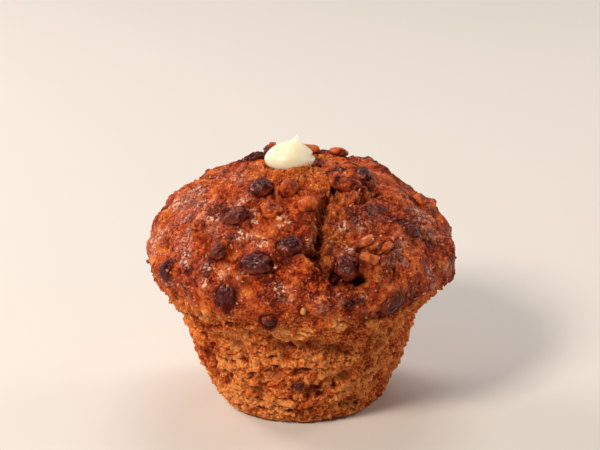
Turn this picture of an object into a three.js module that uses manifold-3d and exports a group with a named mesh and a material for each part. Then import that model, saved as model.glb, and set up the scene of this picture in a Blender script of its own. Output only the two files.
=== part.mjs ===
// Large bakery muffin: a tapered stump that stood in a paper case, a wide burst crown that spread over
// its rim, raisins, chopped walnut and carrot sticks baked into the crust, and a small piped dab of
// cream-cheese icing on top. Millimetres, +Z up. The origin is the centre of the box round the whole
// muffin, at the level of its base, and the front of the muffin faces -Y.
import * as THREE from "three";
import { mergeVertices } from "three/addons/utils/BufferGeometryUtils.js";
import Module from "manifold-3d";

const wasm = await Module();
wasm.setup();

// Driving sizes. Every other size follows from the muffin case, 51 mm across its foot.
const FOOT_RADIUS = 25.5;
const FLAT_RADIUS = 0.87 * FOOT_RADIUS;
const HEEL_RADIUS = 1.08 * FOOT_RADIUS;
const HEEL_HEIGHT = 4.6;
const HEEL_ROUND = 1.5;
const NECK_RADIUS = 1.41 * FOOT_RADIUS;
const NECK_HEIGHT = 28.0;
const STUMP_BULGE = 0.8;
const CROWN_RADIUS = 1.863 * FOOT_RADIUS;
const RIM_HEIGHT = 48.5;
const CROWN_TOP = 76.6;
const CROWN_POWER = 1.68;

// How far the crown is from a true round: the dome leans, and its lip hangs lower on one side.
const CROWN_LEAN = 0.5;
const LIP_RISE = 1.2;
const LIP_LIFT = 0.6;
const LIP_HEIGHT = 36.0;
const LIP_SPREAD = 7.0;
const LOBES = [
  { count: 2, share: 0.006, phase: 0.9 },
  { count: 3, share: 0.009, phase: 2.3 },
  { count: 5, share: 0.007, phase: 0.4 },
  { count: 7, share: 0.004, phase: 4.1 },
];

// Relief of the crust, in mm either way.
const CROWN_LUMPS = 1.0;
const STUMP_LUMPS = 0.45;
const LUMP_WAVES = 9;
const LONGEST_WAVE = 27.0;
const SHORTEST_WAVE = 9.0;
const GOLDEN_ANGLE = Math.PI * (3 - Math.sqrt(5));
const GOLDEN_SHARE = (Math.sqrt(5) - 1) / 2;

// The grid of the muffin's skin, and the gap that a baked-in piece keeps to the crumb round it.
const AROUND = 64;
const CROWN_ROWS = 22;
const STUMP_ROWS = 11;
const CROWN_REACH = 62.0;
const ROWS = CROWN_ROWS + STUMP_ROWS;
const OUTLINE_STEPS = 60;
const GAP = 0.35;

const WELD = 1e-4;
const DEGREE = Math.PI / 180;

function smooth(low, high, value) {
  const share = THREE.MathUtils.clamp((value - low) / (high - low), 0, 1);
  return share * share * (3 - 2 * share);
}

// Outline

// The outline from the edge of the flat foot to the top of the dome: a round heel, the stump's wall,
// the lip as one curve from the neck out to the rim, and the dome as a superellipse.
function makeOutline() {
  const heel = new THREE.QuadraticBezierCurve(
    new THREE.Vector2(FLAT_RADIUS, 0),
    new THREE.Vector2(HEEL_RADIUS - HEEL_ROUND, 0),
    new THREE.Vector2(HEEL_RADIUS, HEEL_HEIGHT),
  );
  const wall = new THREE.QuadraticBezierCurve(
    new THREE.Vector2(HEEL_RADIUS, HEEL_HEIGHT),
    new THREE.Vector2((HEEL_RADIUS + NECK_RADIUS) / 2 + STUMP_BULGE, (HEEL_HEIGHT + NECK_HEIGHT) / 2),
    new THREE.Vector2(NECK_RADIUS, NECK_HEIGHT),
  );
  const lip = new THREE.CubicBezierCurve(
    new THREE.Vector2(NECK_RADIUS, NECK_HEIGHT),
    new THREE.Vector2(NECK_RADIUS + 1.6, NECK_HEIGHT + 5.5),
    new THREE.Vector2(CROWN_RADIUS, RIM_HEIGHT - 8.5),
    new THREE.Vector2(CROWN_RADIUS, RIM_HEIGHT),
  );
  const points = [heel, wall, lip].flatMap((curve) => curve.getPoints(OUTLINE_STEPS).slice(0, -1));
  for (let step = 0; step <= 2 * OUTLINE_STEPS; step++) {
    const angle = (Math.PI / 4) * (step / OUTLINE_STEPS);
    const out = Math.max(Math.cos(angle), 0) ** (2 / CROWN_POWER);
    const up = Math.sin(angle) ** (2 / CROWN_POWER);
    points.push(new THREE.Vector2(CROWN_RADIUS * out, RIM_HEIGHT + (CROWN_TOP - RIM_HEIGHT) * up));
  }
  points.reverse();
  const lengths = [0];
  for (let i = 1; i < points.length; i++) {
    lengths.push(lengths[i - 1] + points[i].distanceTo(points[i - 1]));
  }
  return { points, lengths };
}

const OUTLINE = makeOutline();
const SKIN_LENGTH = OUTLINE.lengths.at(-1);

// The outline's point and outward normal, down mm along the skin from the top of the dome.
function outlineAt(down) {
  const { points, lengths } = OUTLINE;
  const reach = THREE.MathUtils.clamp(down, 0, SKIN_LENGTH);
  let i = 1;
  while (i < points.length - 1 && lengths[i] < reach) i++;
  const share = (reach - lengths[i - 1]) / (lengths[i] - lengths[i - 1]);
  const point = points[i - 1].clone().lerp(points[i], share);
  const ahead = points[Math.min(i + 1, points.length - 1)];
  const along = ahead.clone().sub(points[Math.max(i - 2, 0)]).normalize();
  return { r: point.x, z: point.y, outR: reach === 0 ? 0 : -along.y, outZ: reach === 0 ? 1 : along.x };
}

// Smooth skin

// A point of the skin before any relief, with its outward normal. The lobes and the lean fade out
// below the neck, so the stump stays as round as the case it was baked in.
function smoothSkin(azimuth, down) {
  const { r, z, outR, outZ } = outlineAt(down);
  const crown = smooth(NECK_HEIGHT, RIM_HEIGHT - 4, z);
  const lip = Math.exp(-(((z - LIP_HEIGHT) / LIP_SPREAD) ** 2));
  const lobes = LOBES.reduce(
    (sum, { count, share, phase }) => sum + share * Math.sin(count * azimuth + phase),
    0,
  );
  const radius = r * (1 + crown * lobes);
  const sideways = LIP_RISE * lip - CROWN_LEAN * crown * (r / CROWN_RADIUS);
  const lean = Math.cos(azimuth) * sideways + LIP_LIFT * lip;
  return {
    point: new THREE.Vector3(radius * Math.cos(azimuth), radius * Math.sin(azimuth), z + lean),
    normal: new THREE.Vector3(outR * Math.cos(azimuth), outR * Math.sin(azimuth), outZ).normalize(),
    crown,
    z,
  };
}

// Relief

const WAVES = Array.from({ length: LUMP_WAVES }, (_, k) => {
  const height = 1 - (2 * k + 1) / LUMP_WAVES;
  const across = Math.sqrt(1 - height * height);
  const share = k / (LUMP_WAVES - 1);
  const turn = k * GOLDEN_ANGLE;
  return {
    direction: new THREE.Vector3(across * Math.cos(turn), across * Math.sin(turn), height),
    length: LONGEST_WAVE * (SHORTEST_WAVE / LONGEST_WAVE) ** share,
    phase: k * k * GOLDEN_ANGLE,
  };
});

// Uneven swelling of the crust: a sum of plane waves that run every way, from -1 to 1 or so.
function lumps(point) {
  let sum = 0;
  for (const { direction, length, phase } of WAVES) {
    sum += Math.sin((2 * Math.PI * direction.dot(point)) / length + phase);
  }
  return sum / Math.sqrt(LUMP_WAVES);
}

// Cracks in the crown. Each point is [azimuth in degrees, mm down from the top, half width in mm].
const CRACKS = [
  // the burst that runs from the icing down to the mouth at the front
  [
    [-34, 14, 1.2], [-52, 17.3, 1.9], [-66, 21.8, 1.9], [-77, 29.9, 2.2],
    [-79, 35.2, 2.4], [-80, 39, 2.6], [-83, 42.1, 2.4],
  ],
  // the mouth, where the front plate tore away
  [
    [-92, 43.4, 1.4], [-87.5, 42.7, 2.2], [-83.6, 43.4, 2.8], [-78.5, 47.5, 3.0],
    [-73.8, 50.6, 3.0], [-66.4, 52.2, 3.6], [-64.2, 56.4, 2.4],
  ],
  // the ledge across the right-hand plate
  [[-60, 22.7, 1.4], [-55, 24.7, 2.0], [-46.4, 26.2, 2.2], [-27.6, 25.5, 1.8], [-15.3, 27.6, 1.2]],
  // the slit beside the carrot sticks
  [[-64.8, 43, 1.4], [-61, 43.6, 1.8], [-57.4, 45.2, 1.8], [-51.8, 46.2, 1.4]],
  // bursts on the far side
  [[70, 24, 1.4], [76, 31, 2.8], [82, 38, 3.0], [86, 46, 1.8]],
  [[66, 31, 1.8], [46, 36, 2.6], [30, 42, 1.8]],
  [[163, 31, 1.4], [156, 37, 2.8], [148, 45, 2.8], [146, 53, 1.8]],
];
const CRACK_STEPS = 3;
const CRACK_STEEPNESS = 1.7;
const DEEPEST_CRACK = 7.0;
const CRACK_HEADROOM = 4.0;
const RAGGED = 0.2;
const CRACK_TAPER = 0.22;
const CRACK_END = 0.3;
const EDGE_CURL = 0.3;
const EDGE_REACH = 2.8;

// Half of the trough's cross-section: [share of the half width, share of the depth].
const TROUGH = [
  [0.3, -1],
  [0.72, -0.62],
  [0.92, -0.2],
  [1, 0],
];

const CRACK_LINES = CRACKS.map((crack) =>
  crack.map(([azimuth, down, half]) => ({ ...smoothSkin(azimuth * DEGREE, down), half })),
);

// How far the crust curls up along the torn edges of the cracks.
function crackRelief(point) {
  let highest = 0;
  for (const line of CRACK_LINES) {
    for (let i = 1; i < line.length; i++) {
      const start = line[i - 1];
      const along = line[i].point.clone().sub(start.point);
      const offset = point.clone().sub(start.point);
      const share = THREE.MathUtils.clamp(offset.dot(along) / along.lengthSq(), 0, 1);
      const distance = offset.addScaledVector(along, -share).length();
      const half = THREE.MathUtils.lerp(start.half, line[i].half, share);
      const curl = EDGE_CURL * half * Math.exp(-(((distance - 1.3 * half) / EDGE_REACH) ** 2));
      highest = Math.max(highest, curl);
    }
  }
  return highest;
}

// Open pores of the stump and dents of the crown: [azimuth, down, half width, half height, depth].
const HOLES = [
  [-70.2, 46.1, 7.5, 7.0, 2.4],
  [-64.5, 37.7, 3.6, 3.4, 1.8],
  [-70.6, 32, 4.2, 3.6, 1.6],
  [-74, 38.5, 4.2, 3.6, 1.6],
  [-52.2, 20.3, 3.6, 3.2, 1.2],
  [4.6, 43.5, 6.0, 5.0, 2.2],
  [-84.5, 79.5, 4.8, 2.4, 2.0],
  [-98, 80.5, 4.4, 2.6, 1.8],
  [-72, 82, 4.2, 2.6, 1.3],
  [-115.5, 99.5, 4.2, 2.0, 1.8],
  [-22, 88, 2.8, 2.4, 1.6],
  [-104, 91, 3.2, 2.0, 1.2],
  [-66, 93, 2.8, 2.6, 1.5],
  [-122, 82, 3.0, 2.6, 1.3],
  [-48, 84, 2.6, 1.8, 1.2],
  [-40, 99, 3.0, 2.0, 1.2],
  [-84, 98, 3.4, 1.8, 1.1],
  [-146, 90, 3.0, 2.2, 1.2],
  [12, 84, 4.0, 2.4, 1.6],
  [38, 95, 3.4, 2.2, 1.4],
  [66, 82, 3.6, 2.6, 1.6],
  [92, 92, 4.4, 2.2, 1.7],
  [118, 81, 3.2, 2.2, 1.3],
  [140, 96, 3.8, 2.0, 1.5],
  [168, 84, 3.6, 2.6, 1.5],
].map(([azimuth, down, wide, high, depth]) => ({ ...smoothSkin(azimuth * DEGREE, down), wide, high, depth }));

function holeRelief(point) {
  let lowest = 0;
  for (const hole of HOLES) {
    const offset = point.clone().sub(hole.point);
    const sideways = Math.hypot(offset.x, offset.y) / hole.wide;
    const upward = offset.z / hole.high;
    lowest = Math.min(lowest, -hole.depth * Math.exp(-(sideways ** 2) - upward ** 2));
  }
  return lowest;
}

// A point of the baked skin, with its relief. The foot stays flat.
function bakedSkin(azimuth, down) {
  const { point, normal, crown, z } = smoothSkin(azimuth, down);
  const swelling = lumps(point) * THREE.MathUtils.lerp(STUMP_LUMPS, CROWN_LUMPS, crown);
  const relief = swelling + crackRelief(point) + holeRelief(point);
  return point.addScaledVector(normal, relief * smooth(0.3, 5, z));
}

// Solids

function geometryFrom(positions, triangles) {
  return new THREE.BufferGeometry()
    .setAttribute("position", new THREE.BufferAttribute(Float32Array.from(positions), 3))
    .setIndex(Array.from(triangles));
}

function weld(geometry) {
  const bare = geometry.clone();
  bare.deleteAttribute("normal");
  bare.deleteAttribute("uv");
  return mergeVertices(bare, WELD);
}

function solidFrom(geometry) {
  const merged = weld(geometry);
  return new wasm.Manifold(
    new wasm.Mesh({
      numProp: 3,
      vertProperties: merged.attributes.position.array,
      triVerts: new Uint32Array(merged.index.array),
    }),
  );
}

function geometryOf(solid) {
  const { numProp, numVert, vertProperties, triVerts } = solid.getMesh();
  const positions = [];
  for (let i = 0; i < numVert; i++) {
    positions.push(...vertProperties.subarray(i * numProp, i * numProp + 3));
  }
  return geometryFrom(positions, triVerts);
}

// The muffin without its pockets: one vertex on top, rings down the skin, and one in the foot.
function makeLoaf() {
  const positions = bakedSkin(0, 0).toArray();
  for (let row = 1; row <= ROWS; row++) {
    const crownRow = Math.min(row, CROWN_ROWS);
    const stumpRow = row - crownRow;
    const onStump = ((SKIN_LENGTH - CROWN_REACH) * stumpRow) / STUMP_ROWS;
    const down = (CROWN_REACH * crownRow) / CROWN_ROWS + onStump;
    for (let i = 0; i < AROUND; i++) {
      positions.push(...bakedSkin((2 * Math.PI * i) / AROUND, down).toArray());
    }
  }
  const foot = positions.length / 3;
  positions.push(0, 0, 0);
  const ring = (row, i) => 1 + (row - 1) * AROUND + ((i + AROUND) % AROUND);
  const triangles = [];
  for (let i = 0; i < AROUND; i++) {
    triangles.push(0, ring(1, i), ring(1, i + 1));
    triangles.push(foot, ring(ROWS, i + 1), ring(ROWS, i));
    for (let row = 1; row < ROWS; row++) {
      triangles.push(ring(row, i), ring(row + 1, i), ring(row + 1, i + 1));
      triangles.push(ring(row, i), ring(row + 1, i + 1), ring(row, i + 1));
    }
  }
  return solidFrom(geometryFrom(positions, triangles));
}

// A crack is cut with a trough swept along it: steep ragged sides that close in on a narrow floor.
function makeTrough(line, index) {
  const curve = new THREE.CatmullRomCurve3(line.map(({ point }) => point));
  const steps = CRACK_STEPS * (line.length - 1);
  const positions = [];
  for (let step = 0; step <= steps; step++) {
    const share = step / steps;
    const i = Math.min(Math.floor(share * (line.length - 1)), line.length - 2);
    const local = share * (line.length - 1) - i;
    const at = curve.getPoint(share);
    const up = line[i].normal.clone().lerp(line[i + 1].normal, local).normalize();
    const side = curve.getTangent(share).cross(up).normalize();
    const taper = THREE.MathUtils.lerp(CRACK_END, 1, smooth(0, CRACK_TAPER, Math.min(share, 1 - share)));
    const half = taper * THREE.MathUtils.lerp(line[i].half, line[i + 1].half, local);
    const depth = Math.min(DEEPEST_CRACK, CRACK_STEEPNESS * half);
    const left = half * (1 + RAGGED * Math.sin(3.1 * step + index));
    const right = half * (1 + RAGGED * Math.sin(4.3 * step + 2 * index));
    const section = [
      ...TROUGH.map(([across, down]) => [across * right, down * depth]),
      [1.25 * right, CRACK_HEADROOM],
      [-1.25 * left, CRACK_HEADROOM],
      ...TROUGH.toReversed().map(([across, down]) => [-across * left, down * depth]),
    ];
    for (const [across, high] of section) {
      positions.push(...at.clone().addScaledVector(side, across).addScaledVector(up, high).toArray());
    }
  }
  const count = 2 * TROUGH.length + 2;
  const triangles = [];
  for (let k = 0; k < count; k++) {
    const next = (k + 1) % count;
    for (let step = 0; step < steps; step++) {
      const [a, b] = [step * count, (step + 1) * count];
      triangles.push(a + k, b + next, a + next, a + k, b + k, b + next);
    }
    if (k > 0 && k < count - 1) {
      triangles.push(0, k, k + 1, steps * count, steps * count + k + 1, steps * count + k);
    }
  }
  return solidFrom(geometryFrom(positions, triangles));
}

// Baked-in pieces. Each kind has its colour, its roughness and the depth of its wrinkles.
const KINDS = {
  raisin: { color: 0x3a1a14, roughness: 0.35, wrinkle: 0.09, square: 1.0 },
  walnut: { color: 0x9a4a1c, roughness: 0.45, wrinkle: 0.14, square: 1.0 },
  carrot: { color: 0xb8601f, roughness: 0.5, wrinkle: 0.05, square: 0.7 },
};

// The pieces in the front: [kind, azimuth, down, long, wide, thick, turn in degrees, centre above the skin].
// The turn is measured from the level direction along the skin.
const FRONT_PIECES = [
  ["raisin", -123, 20.4, 6.8, 6.4, 6.0, 10, 1.2],
  ["walnut", -100.2, 18.9, 6.4, 5.6, 6.4, 70, 1.4],
  ["walnut", -84.8, 26.6, 6.0, 5.6, 5.8, 20, 1.4],
  ["raisin", -125.6, 32.4, 8.6, 5.8, 5.4, 45, 0.9],
  ["walnut", -107.8, 28, 7.2, 6.0, 5.0, 0, 0.7],
  ["walnut", -40, 17, 10.6, 7.4, 6.2, -62, 1.3],
  ["raisin", -94.4, 40.6, 8.2, 6.8, 6.0, 0, 0.6],
  ["raisin", -107.5, 47, 9.2, 6.2, 5.6, 12, 1.0],
  ["raisin", -125.2, 45.2, 5.0, 4.6, 4.2, 60, 0.8],
  ["raisin", -69.8, 46.9, 8.0, 7.4, 7.0, 0, -1.9],
  ["raisin", -116.9, 57.4, 7.0, 6.4, 4.6, 80, -0.5],
  ["raisin", -101.7, 64.4, 4.6, 4.0, 3.8, 0, -0.6],
  ["raisin", -55.1, 61, 7.6, 5.6, 4.6, 40, -0.2],
  ["raisin", -90.7, 94.4, 3.6, 3.2, 3.2, 0, -0.5],
  ["raisin", -148, 56.4, 6.2, 4.8, 4.2, 80, -0.6],
  ["raisin", -31.1, 42.5, 6.6, 4.6, 4.4, -20, 0.0],
  ["carrot", -60.9, 46.6, 6.6, 3.2, 3.0, -28, 0.3],
  ["carrot", -58.3, 40.8, 5.8, 3.2, 2.8, 14, 0.3],
  ["walnut", -51.2, 44.4, 7.6, 3.4, 3.0, 22, 0.2],
  ["raisin", -6, 19.5, 6.0, 4.6, 4.2, 20, 0.8],
  ["walnut", -142.6, 40.1, 5.6, 4.4, 4.2, 0, 0.1],
  ["walnut", 6, 40.4, 6.0, 4.4, 3.4, 30, 0.3],
];

// The pieces that stand up on the skyline behind the icing.
const SKYLINE_PIECES = [
  ["raisin", 149, 16.6, 6.2, 3.0, 2.8, 124, 1.3],
  ["walnut", 126, 15, 4.6, 4.2, 4.0, 0, 1.5],
  ["carrot", 80, 14.6, 7.0, 3.0, 2.6, 12, 1.6],
  ["walnut", 52, 20, 6.2, 3.6, 2.8, 30, 1.3],
];

// The far side is like the front: pieces stepped round it by the golden angle, biggest first.
const FAR_COUNT = 10;
const FAR_SIZE = { largest: 9.6, smallest: 5.0 };
const FAR_BAND = { start: 58, round: 84, top: 35, deep: 27 };
function makeFarPieces() {
  const order = ["walnut", "raisin", "raisin", "carrot"];
  return Array.from({ length: FAR_COUNT }, (_, k) => {
    const share = k / (FAR_COUNT - 1);
    const round = (k * GOLDEN_SHARE) % 1;
    const long = THREE.MathUtils.lerp(FAR_SIZE.largest, FAR_SIZE.smallest, share);
    const kind = order[k % order.length];
    const slim = kind === "carrot" ? 0.4 : 0.78;
    const down = FAR_BAND.top + FAR_BAND.deep * Math.sqrt((k + 0.5) / FAR_COUNT);
    const thick = 0.6 * slim * long + 1.2;
    return [kind, FAR_BAND.start + FAR_BAND.round * round, down, long, slim * long, thick, 180 * round, 0.6];
  });
}

function makePiece(kind, azimuth, down, long, wide, thick, turn, proud, index) {
  const { wrinkle, square } = KINDS[kind];
  const { point, normal } = smoothSkin(azimuth * DEGREE, down);
  const level = new THREE.Vector3(-Math.sin(azimuth * DEGREE), Math.cos(azimuth * DEGREE), 0);
  const up = normal.clone().cross(level);
  const first = level.multiplyScalar(Math.cos(turn * DEGREE)).addScaledVector(up, Math.sin(turn * DEGREE));
  const second = normal.clone().cross(first);
  const centre = point.addScaledVector(normal, proud + lumps(point) * CROWN_LUMPS * 0.6);
  const placing = new THREE.Matrix4().makeBasis(first, second, normal).setPosition(centre);
  const grown = (extra) => {
    const shape = weld(new THREE.IcosahedronGeometry(1, 1));
    const spots = shape.attributes.position;
    for (let i = 0; i < spots.count; i++) {
      const way = new THREE.Vector3().fromBufferAttribute(spots, i).normalize();
      const fold = Math.sin(5.1 * way.x + 2.3 * index) + Math.sin(6.3 * way.y + 4.7 * way.z + 1.7 * index);
      const sized = new THREE.Vector3(
        Math.sign(way.x) * Math.abs(way.x) ** square * (long / 2 + extra),
        Math.sign(way.y) * Math.abs(way.y) ** square * (wide / 2 + extra),
        Math.sign(way.z) * Math.abs(way.z) ** square * (thick / 2 + extra),
      );
      sized.multiplyScalar(1 + wrinkle * fold * 0.5).applyMatrix4(placing);
      spots.setXYZ(i, sized.x, sized.y, sized.z);
    }
    return solidFrom(shape);
  };
  return { kind, solid: grown(0), pocket: grown(GAP) };
}

// Nut crumbs too small to be pieces of their own are fused to the crust.
const CRUMB_COUNT = 6;
function makeCrumb(k) {
  const azimuth = -89 * DEGREE + k * GOLDEN_ANGLE;
  const down = k === 0 ? 60.5 : 12 + 50 * ((k * GOLDEN_SHARE) % 1);
  const place = bakedSkin(azimuth, down);
  const crumb = new THREE.IcosahedronGeometry(1.1 + 0.5 * ((k * 0.37) % 1), 0);
  crumb.scale(1, 0.8, 0.9).rotateZ(k).translate(place.x, place.y, place.z);
  return solidFrom(crumb);
}

// Icing: a piped dab, wide and round below, with a peak pulled up to one side.
const DAB_RADIUS = 7.4;
const DAB_SPOT = { x: -3.1, y: -1.4 };
const DAB_SEAT = 0.4;
const DAB_SEGMENTS = 22;
const DAB_LEAN = 2.1;
const DAB_TILT = 0.1;
const DAB_TIP = 9.5;
const DAB_OUTLINE = [
  [0, 0],
  [0.78 * DAB_RADIUS, 0],
  [0.95 * DAB_RADIUS, 0.4],
  [DAB_RADIUS, 1.3],
  [0.97 * DAB_RADIUS, 2.6],
  [0.87 * DAB_RADIUS, 3.9],
  [0.7 * DAB_RADIUS, 5.0],
  [0.47 * DAB_RADIUS, 6.0],
  [0.25 * DAB_RADIUS, 7.0],
  [0.1 * DAB_RADIUS, 8.2],
  [0, DAB_TIP],
];

function makeDab(extra) {
  const outline = DAB_OUTLINE.map(([r, z]) => new THREE.Vector2(r, z));
  const dab = weld(new THREE.LatheGeometry(outline, DAB_SEGMENTS));
  const top = smoothSkin(Math.atan2(DAB_SPOT.y, DAB_SPOT.x), Math.hypot(DAB_SPOT.x, DAB_SPOT.y)).point;
  const spots = dab.attributes.position;
  const grow = 1 + extra / DAB_RADIUS;
  for (let i = 0; i < spots.count; i++) {
    // The outline was turned about Y, so its Y is the height here.
    const [x, z, y] = [spots.getX(i), spots.getY(i), spots.getZ(i)];
    const lean = DAB_LEAN * smooth(1.5, DAB_TIP - 1.5, z);
    const tilt = 1 - DAB_TILT * (x / DAB_RADIUS) * smooth(0, 3, z) * smooth(DAB_TIP, DAB_TIP - 2, z);
    spots.setXYZ(
      i,
      DAB_SPOT.x + grow * x + lean,
      DAB_SPOT.y - grow * y,
      top.z - DAB_SEAT - extra + tilt * z * (1 + (2 * extra) / DAB_TIP),
    );
  }
  return solidFrom(dab);
}

// Assembly

function paint(color, roughness) {
  return new THREE.MeshStandardMaterial({ color, roughness, metalness: 0 });
}

const icing = makeDab(0);
const rows = [...FRONT_PIECES, ...SKYLINE_PIECES, ...makeFarPieces()];
const pieces = rows.map((row, index) => makePiece(...row, index));

let loaf = makeLoaf();
for (let k = 0; k < CRUMB_COUNT; k++) loaf = loaf.add(makeCrumb(k));
CRACK_LINES.forEach((line, index) => {
  loaf = loaf.subtract(makeTrough(line, index));
});
loaf = loaf.subtract(makeDab(GAP));
for (const { pocket } of pieces) loaf = loaf.subtract(pocket);
loaf = loaf.decompose().reduce((largest, solid) => (solid.volume() > largest.volume() ? solid : largest));

const muffin = new THREE.Group();
muffin.add(new THREE.Mesh(geometryOf(loaf), paint(0xa85a26, 0.75)));
muffin.children[0].name = "muffin";
muffin.add(new THREE.Mesh(geometryOf(icing), paint(0xf3ecc4, 0.4)));
muffin.children[1].name = "icing_dab";
const counts = {};
for (const { kind, solid } of pieces) {
  counts[kind] = (counts[kind] ?? 0) + 1;
  const mesh = new THREE.Mesh(geometryOf(solid), paint(KINDS[kind].color, KINDS[kind].roughness));
  mesh.name = `${kind}_${counts[kind]}`;
  muffin.add(mesh);
}

// The origin is under the middle of the box round the whole muffin.
const middle = new THREE.Box3().setFromObject(muffin, true).getCenter(new THREE.Vector3());
muffin.position.set(-middle.x, -middle.y, 0);

export default muffin;
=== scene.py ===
"""A large carrot muffin with raisins, walnut pieces and a dab of icing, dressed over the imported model.

The baked body is drawn as four bands that meet ring to ring: two of the crown, with its burst and its
sticky crust, and two of the stump, with its open crumb. Each raisin, walnut piece and carrot stick stands
for its own solid and sits in a dent of the crust. Shapes are worked out in millimetres, and become metres
when a mesh is made.
"""

import sys

import logging
import math
from dataclasses import dataclass, field
from enum import Enum
from itertools import product

import bpy
import numpy as np
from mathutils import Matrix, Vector


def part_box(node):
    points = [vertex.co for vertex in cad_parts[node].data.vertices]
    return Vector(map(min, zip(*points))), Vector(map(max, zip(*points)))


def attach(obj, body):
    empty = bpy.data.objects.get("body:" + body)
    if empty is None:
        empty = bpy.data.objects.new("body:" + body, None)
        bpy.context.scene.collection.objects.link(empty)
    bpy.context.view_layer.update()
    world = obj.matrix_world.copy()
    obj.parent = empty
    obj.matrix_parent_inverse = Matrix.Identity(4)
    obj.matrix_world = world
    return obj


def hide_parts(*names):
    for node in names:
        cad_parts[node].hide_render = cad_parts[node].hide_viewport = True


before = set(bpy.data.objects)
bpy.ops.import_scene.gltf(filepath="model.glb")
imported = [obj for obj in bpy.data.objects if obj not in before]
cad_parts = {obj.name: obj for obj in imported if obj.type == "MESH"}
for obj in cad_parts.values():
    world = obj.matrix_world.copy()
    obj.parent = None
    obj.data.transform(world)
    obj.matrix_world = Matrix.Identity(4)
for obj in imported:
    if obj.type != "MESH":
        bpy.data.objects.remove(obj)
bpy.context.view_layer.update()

LOG = logging.getLogger("muffin")
Array = np.ndarray
Tree = bpy.types.NodeTree
Node = bpy.types.Node
Piece = bpy.types.Object
METRES = 0.001
GOLDEN_ANGLE = math.pi * (3 - math.sqrt(5))
GOLDEN_SHARE = (math.sqrt(5) - 1) / 2


class Kind(Enum):
    """What a baked-in piece is."""

    RAISIN = "raisin"
    WALNUT = "walnut"
    CARROT = "carrot"


# Numbers and noise


def smooth(low: float, high: float, value: Array) -> Array:
    """Rises from 0 at low to 1 at high with level ends: share squared times (3 less twice the share).

    Args:
        low: The value that gives 0.
        high: The value that gives 1, which may be the lower of the two.
        value: Where to work it out.

    Returns:
        The eased share at each value.
    """
    share = np.clip((value - low) / (high - low), 0, 1)
    return share * share * (3 - 2 * share)


def blend(start: Array, end: Array, share: Array) -> Array:
    """Goes straight from start, at share 0, to end, at share 1."""
    return start + (end - start) * share


def bell(value: Array, width: float) -> Array:
    """Falls from 1 at nothing to both sides: e to the power of less the square of value over width."""
    return np.exp(-((value / width) ** 2))


def lattice_values(cells: Array, seed: int) -> Array:
    """Gives every lattice cell three steady random numbers from -1 to 1.

    The cell's three whole numbers are multiplied by large odd numbers and folded together, and each further
    number is the last one multiplied and folded again.

    Args:
        cells: Whole-number coordinates, with 3 in the last axis.
        seed: Picks one of many fields.

    Returns:
        An array of the same shape as cells.
    """
    cells = cells.astype(np.int64)
    mixed = (cells[..., 0] * 73856093) ^ (cells[..., 1] * 19349663) ^ (cells[..., 2] * 83492791)
    mixed = (mixed ^ (seed * 40503 + 977)) & 0xFFFFFFFF
    numbers = []
    for _ in range(3):
        mixed = ((mixed ^ (mixed >> 15)) * 0x2C1B3C6D) & 0xFFFFFFFF
        mixed = ((mixed ^ (mixed >> 12)) * 0x297A2D39) & 0xFFFFFFFF
        mixed = mixed ^ (mixed >> 15)
        numbers.append(mixed / 0x7FFFFFFF - 1)
    return np.stack(numbers, axis=-1)


def wave_noise(points: Array, size: float, seed: int = 0) -> Array:
    """Smooth noise from about -1 to 1 that swells every size mm.

    Each lattice corner has a random slope; a point's value is the slopes of its 8 corners times its
    offsets from them, weighted by a curve that is level at the corners.

    Args:
        points: Places in mm, with 3 in the last axis.
        size: Side of a lattice cell in mm.
        seed: Picks one of many fields.

    Returns:
        One number for each point.
    """
    spot = points / size
    cell = np.floor(spot)
    offset = spot - cell
    fade = offset**3 * (offset * (offset * 6 - 15) + 10)
    total = np.zeros(points.shape[:-1])
    for corner in product((0, 1), repeat=3):
        weight = np.prod(np.where(corner, fade, 1 - fade), axis=-1)
        total += weight * (lattice_values(cell + corner, seed) * (offset - corner)).sum(-1)
    return 1.7 * total


def creased_noise(points: Array, layers: tuple, seed: int, level: float = 0.3) -> Array:
    """Adds layers of noise with a sharp crease wherever it crosses nothing.

    Each layer is its height times the noise's size without its sign, less the level.

    Args:
        points: Places in mm.
        layers: Swell and height of each layer in mm.
        seed: Picks the first of the layers' fields.
        level: What is taken off, so that the layers stand as much above nothing as below it.

    Returns:
        The height at each point in mm.
    """
    total = np.zeros(points.shape[:-1])
    for k, (size, height) in enumerate(layers):
        total += height * (np.abs(wave_noise(points, size, seed + k)) - level)
    return total


def cell_noise(points: Array, size: float, seed: int = 0, flat: float = 1.0) -> tuple[Array, Array]:
    """Splits space into random cells, as bubbles in crumb do.

    Every lattice cube holds one random seed; a point belongs to the nearest seed of the 27 cubes round it.

    Args:
        points: Places in mm.
        size: Side of a cube in mm.
        seed: Picks one of many fields.
        flat: How much lower than wide the cells are.

    Returns:
        The distance to the nearest seed as a share of size, and that seed's random number from 0 to 1.
    """
    spot = points / (size * np.array([1, 1, 1 / flat]))
    cell = np.floor(spot)
    near = np.full(points.shape[:-1], np.inf)
    tag = np.zeros(points.shape[:-1])
    for corner in product((-1, 0, 1), repeat=3):
        values = lattice_values(cell + corner, seed)
        distance = np.linalg.norm(cell + corner + 0.5 + 0.42 * values - spot, axis=-1)
        closer = distance < near
        tag = np.where(closer, (values[..., 0] * 7.31 + values[..., 1] * 3.17) % 1.0, tag)
        near = np.where(closer, distance, near)
    return near, tag


# Meshes


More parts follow.
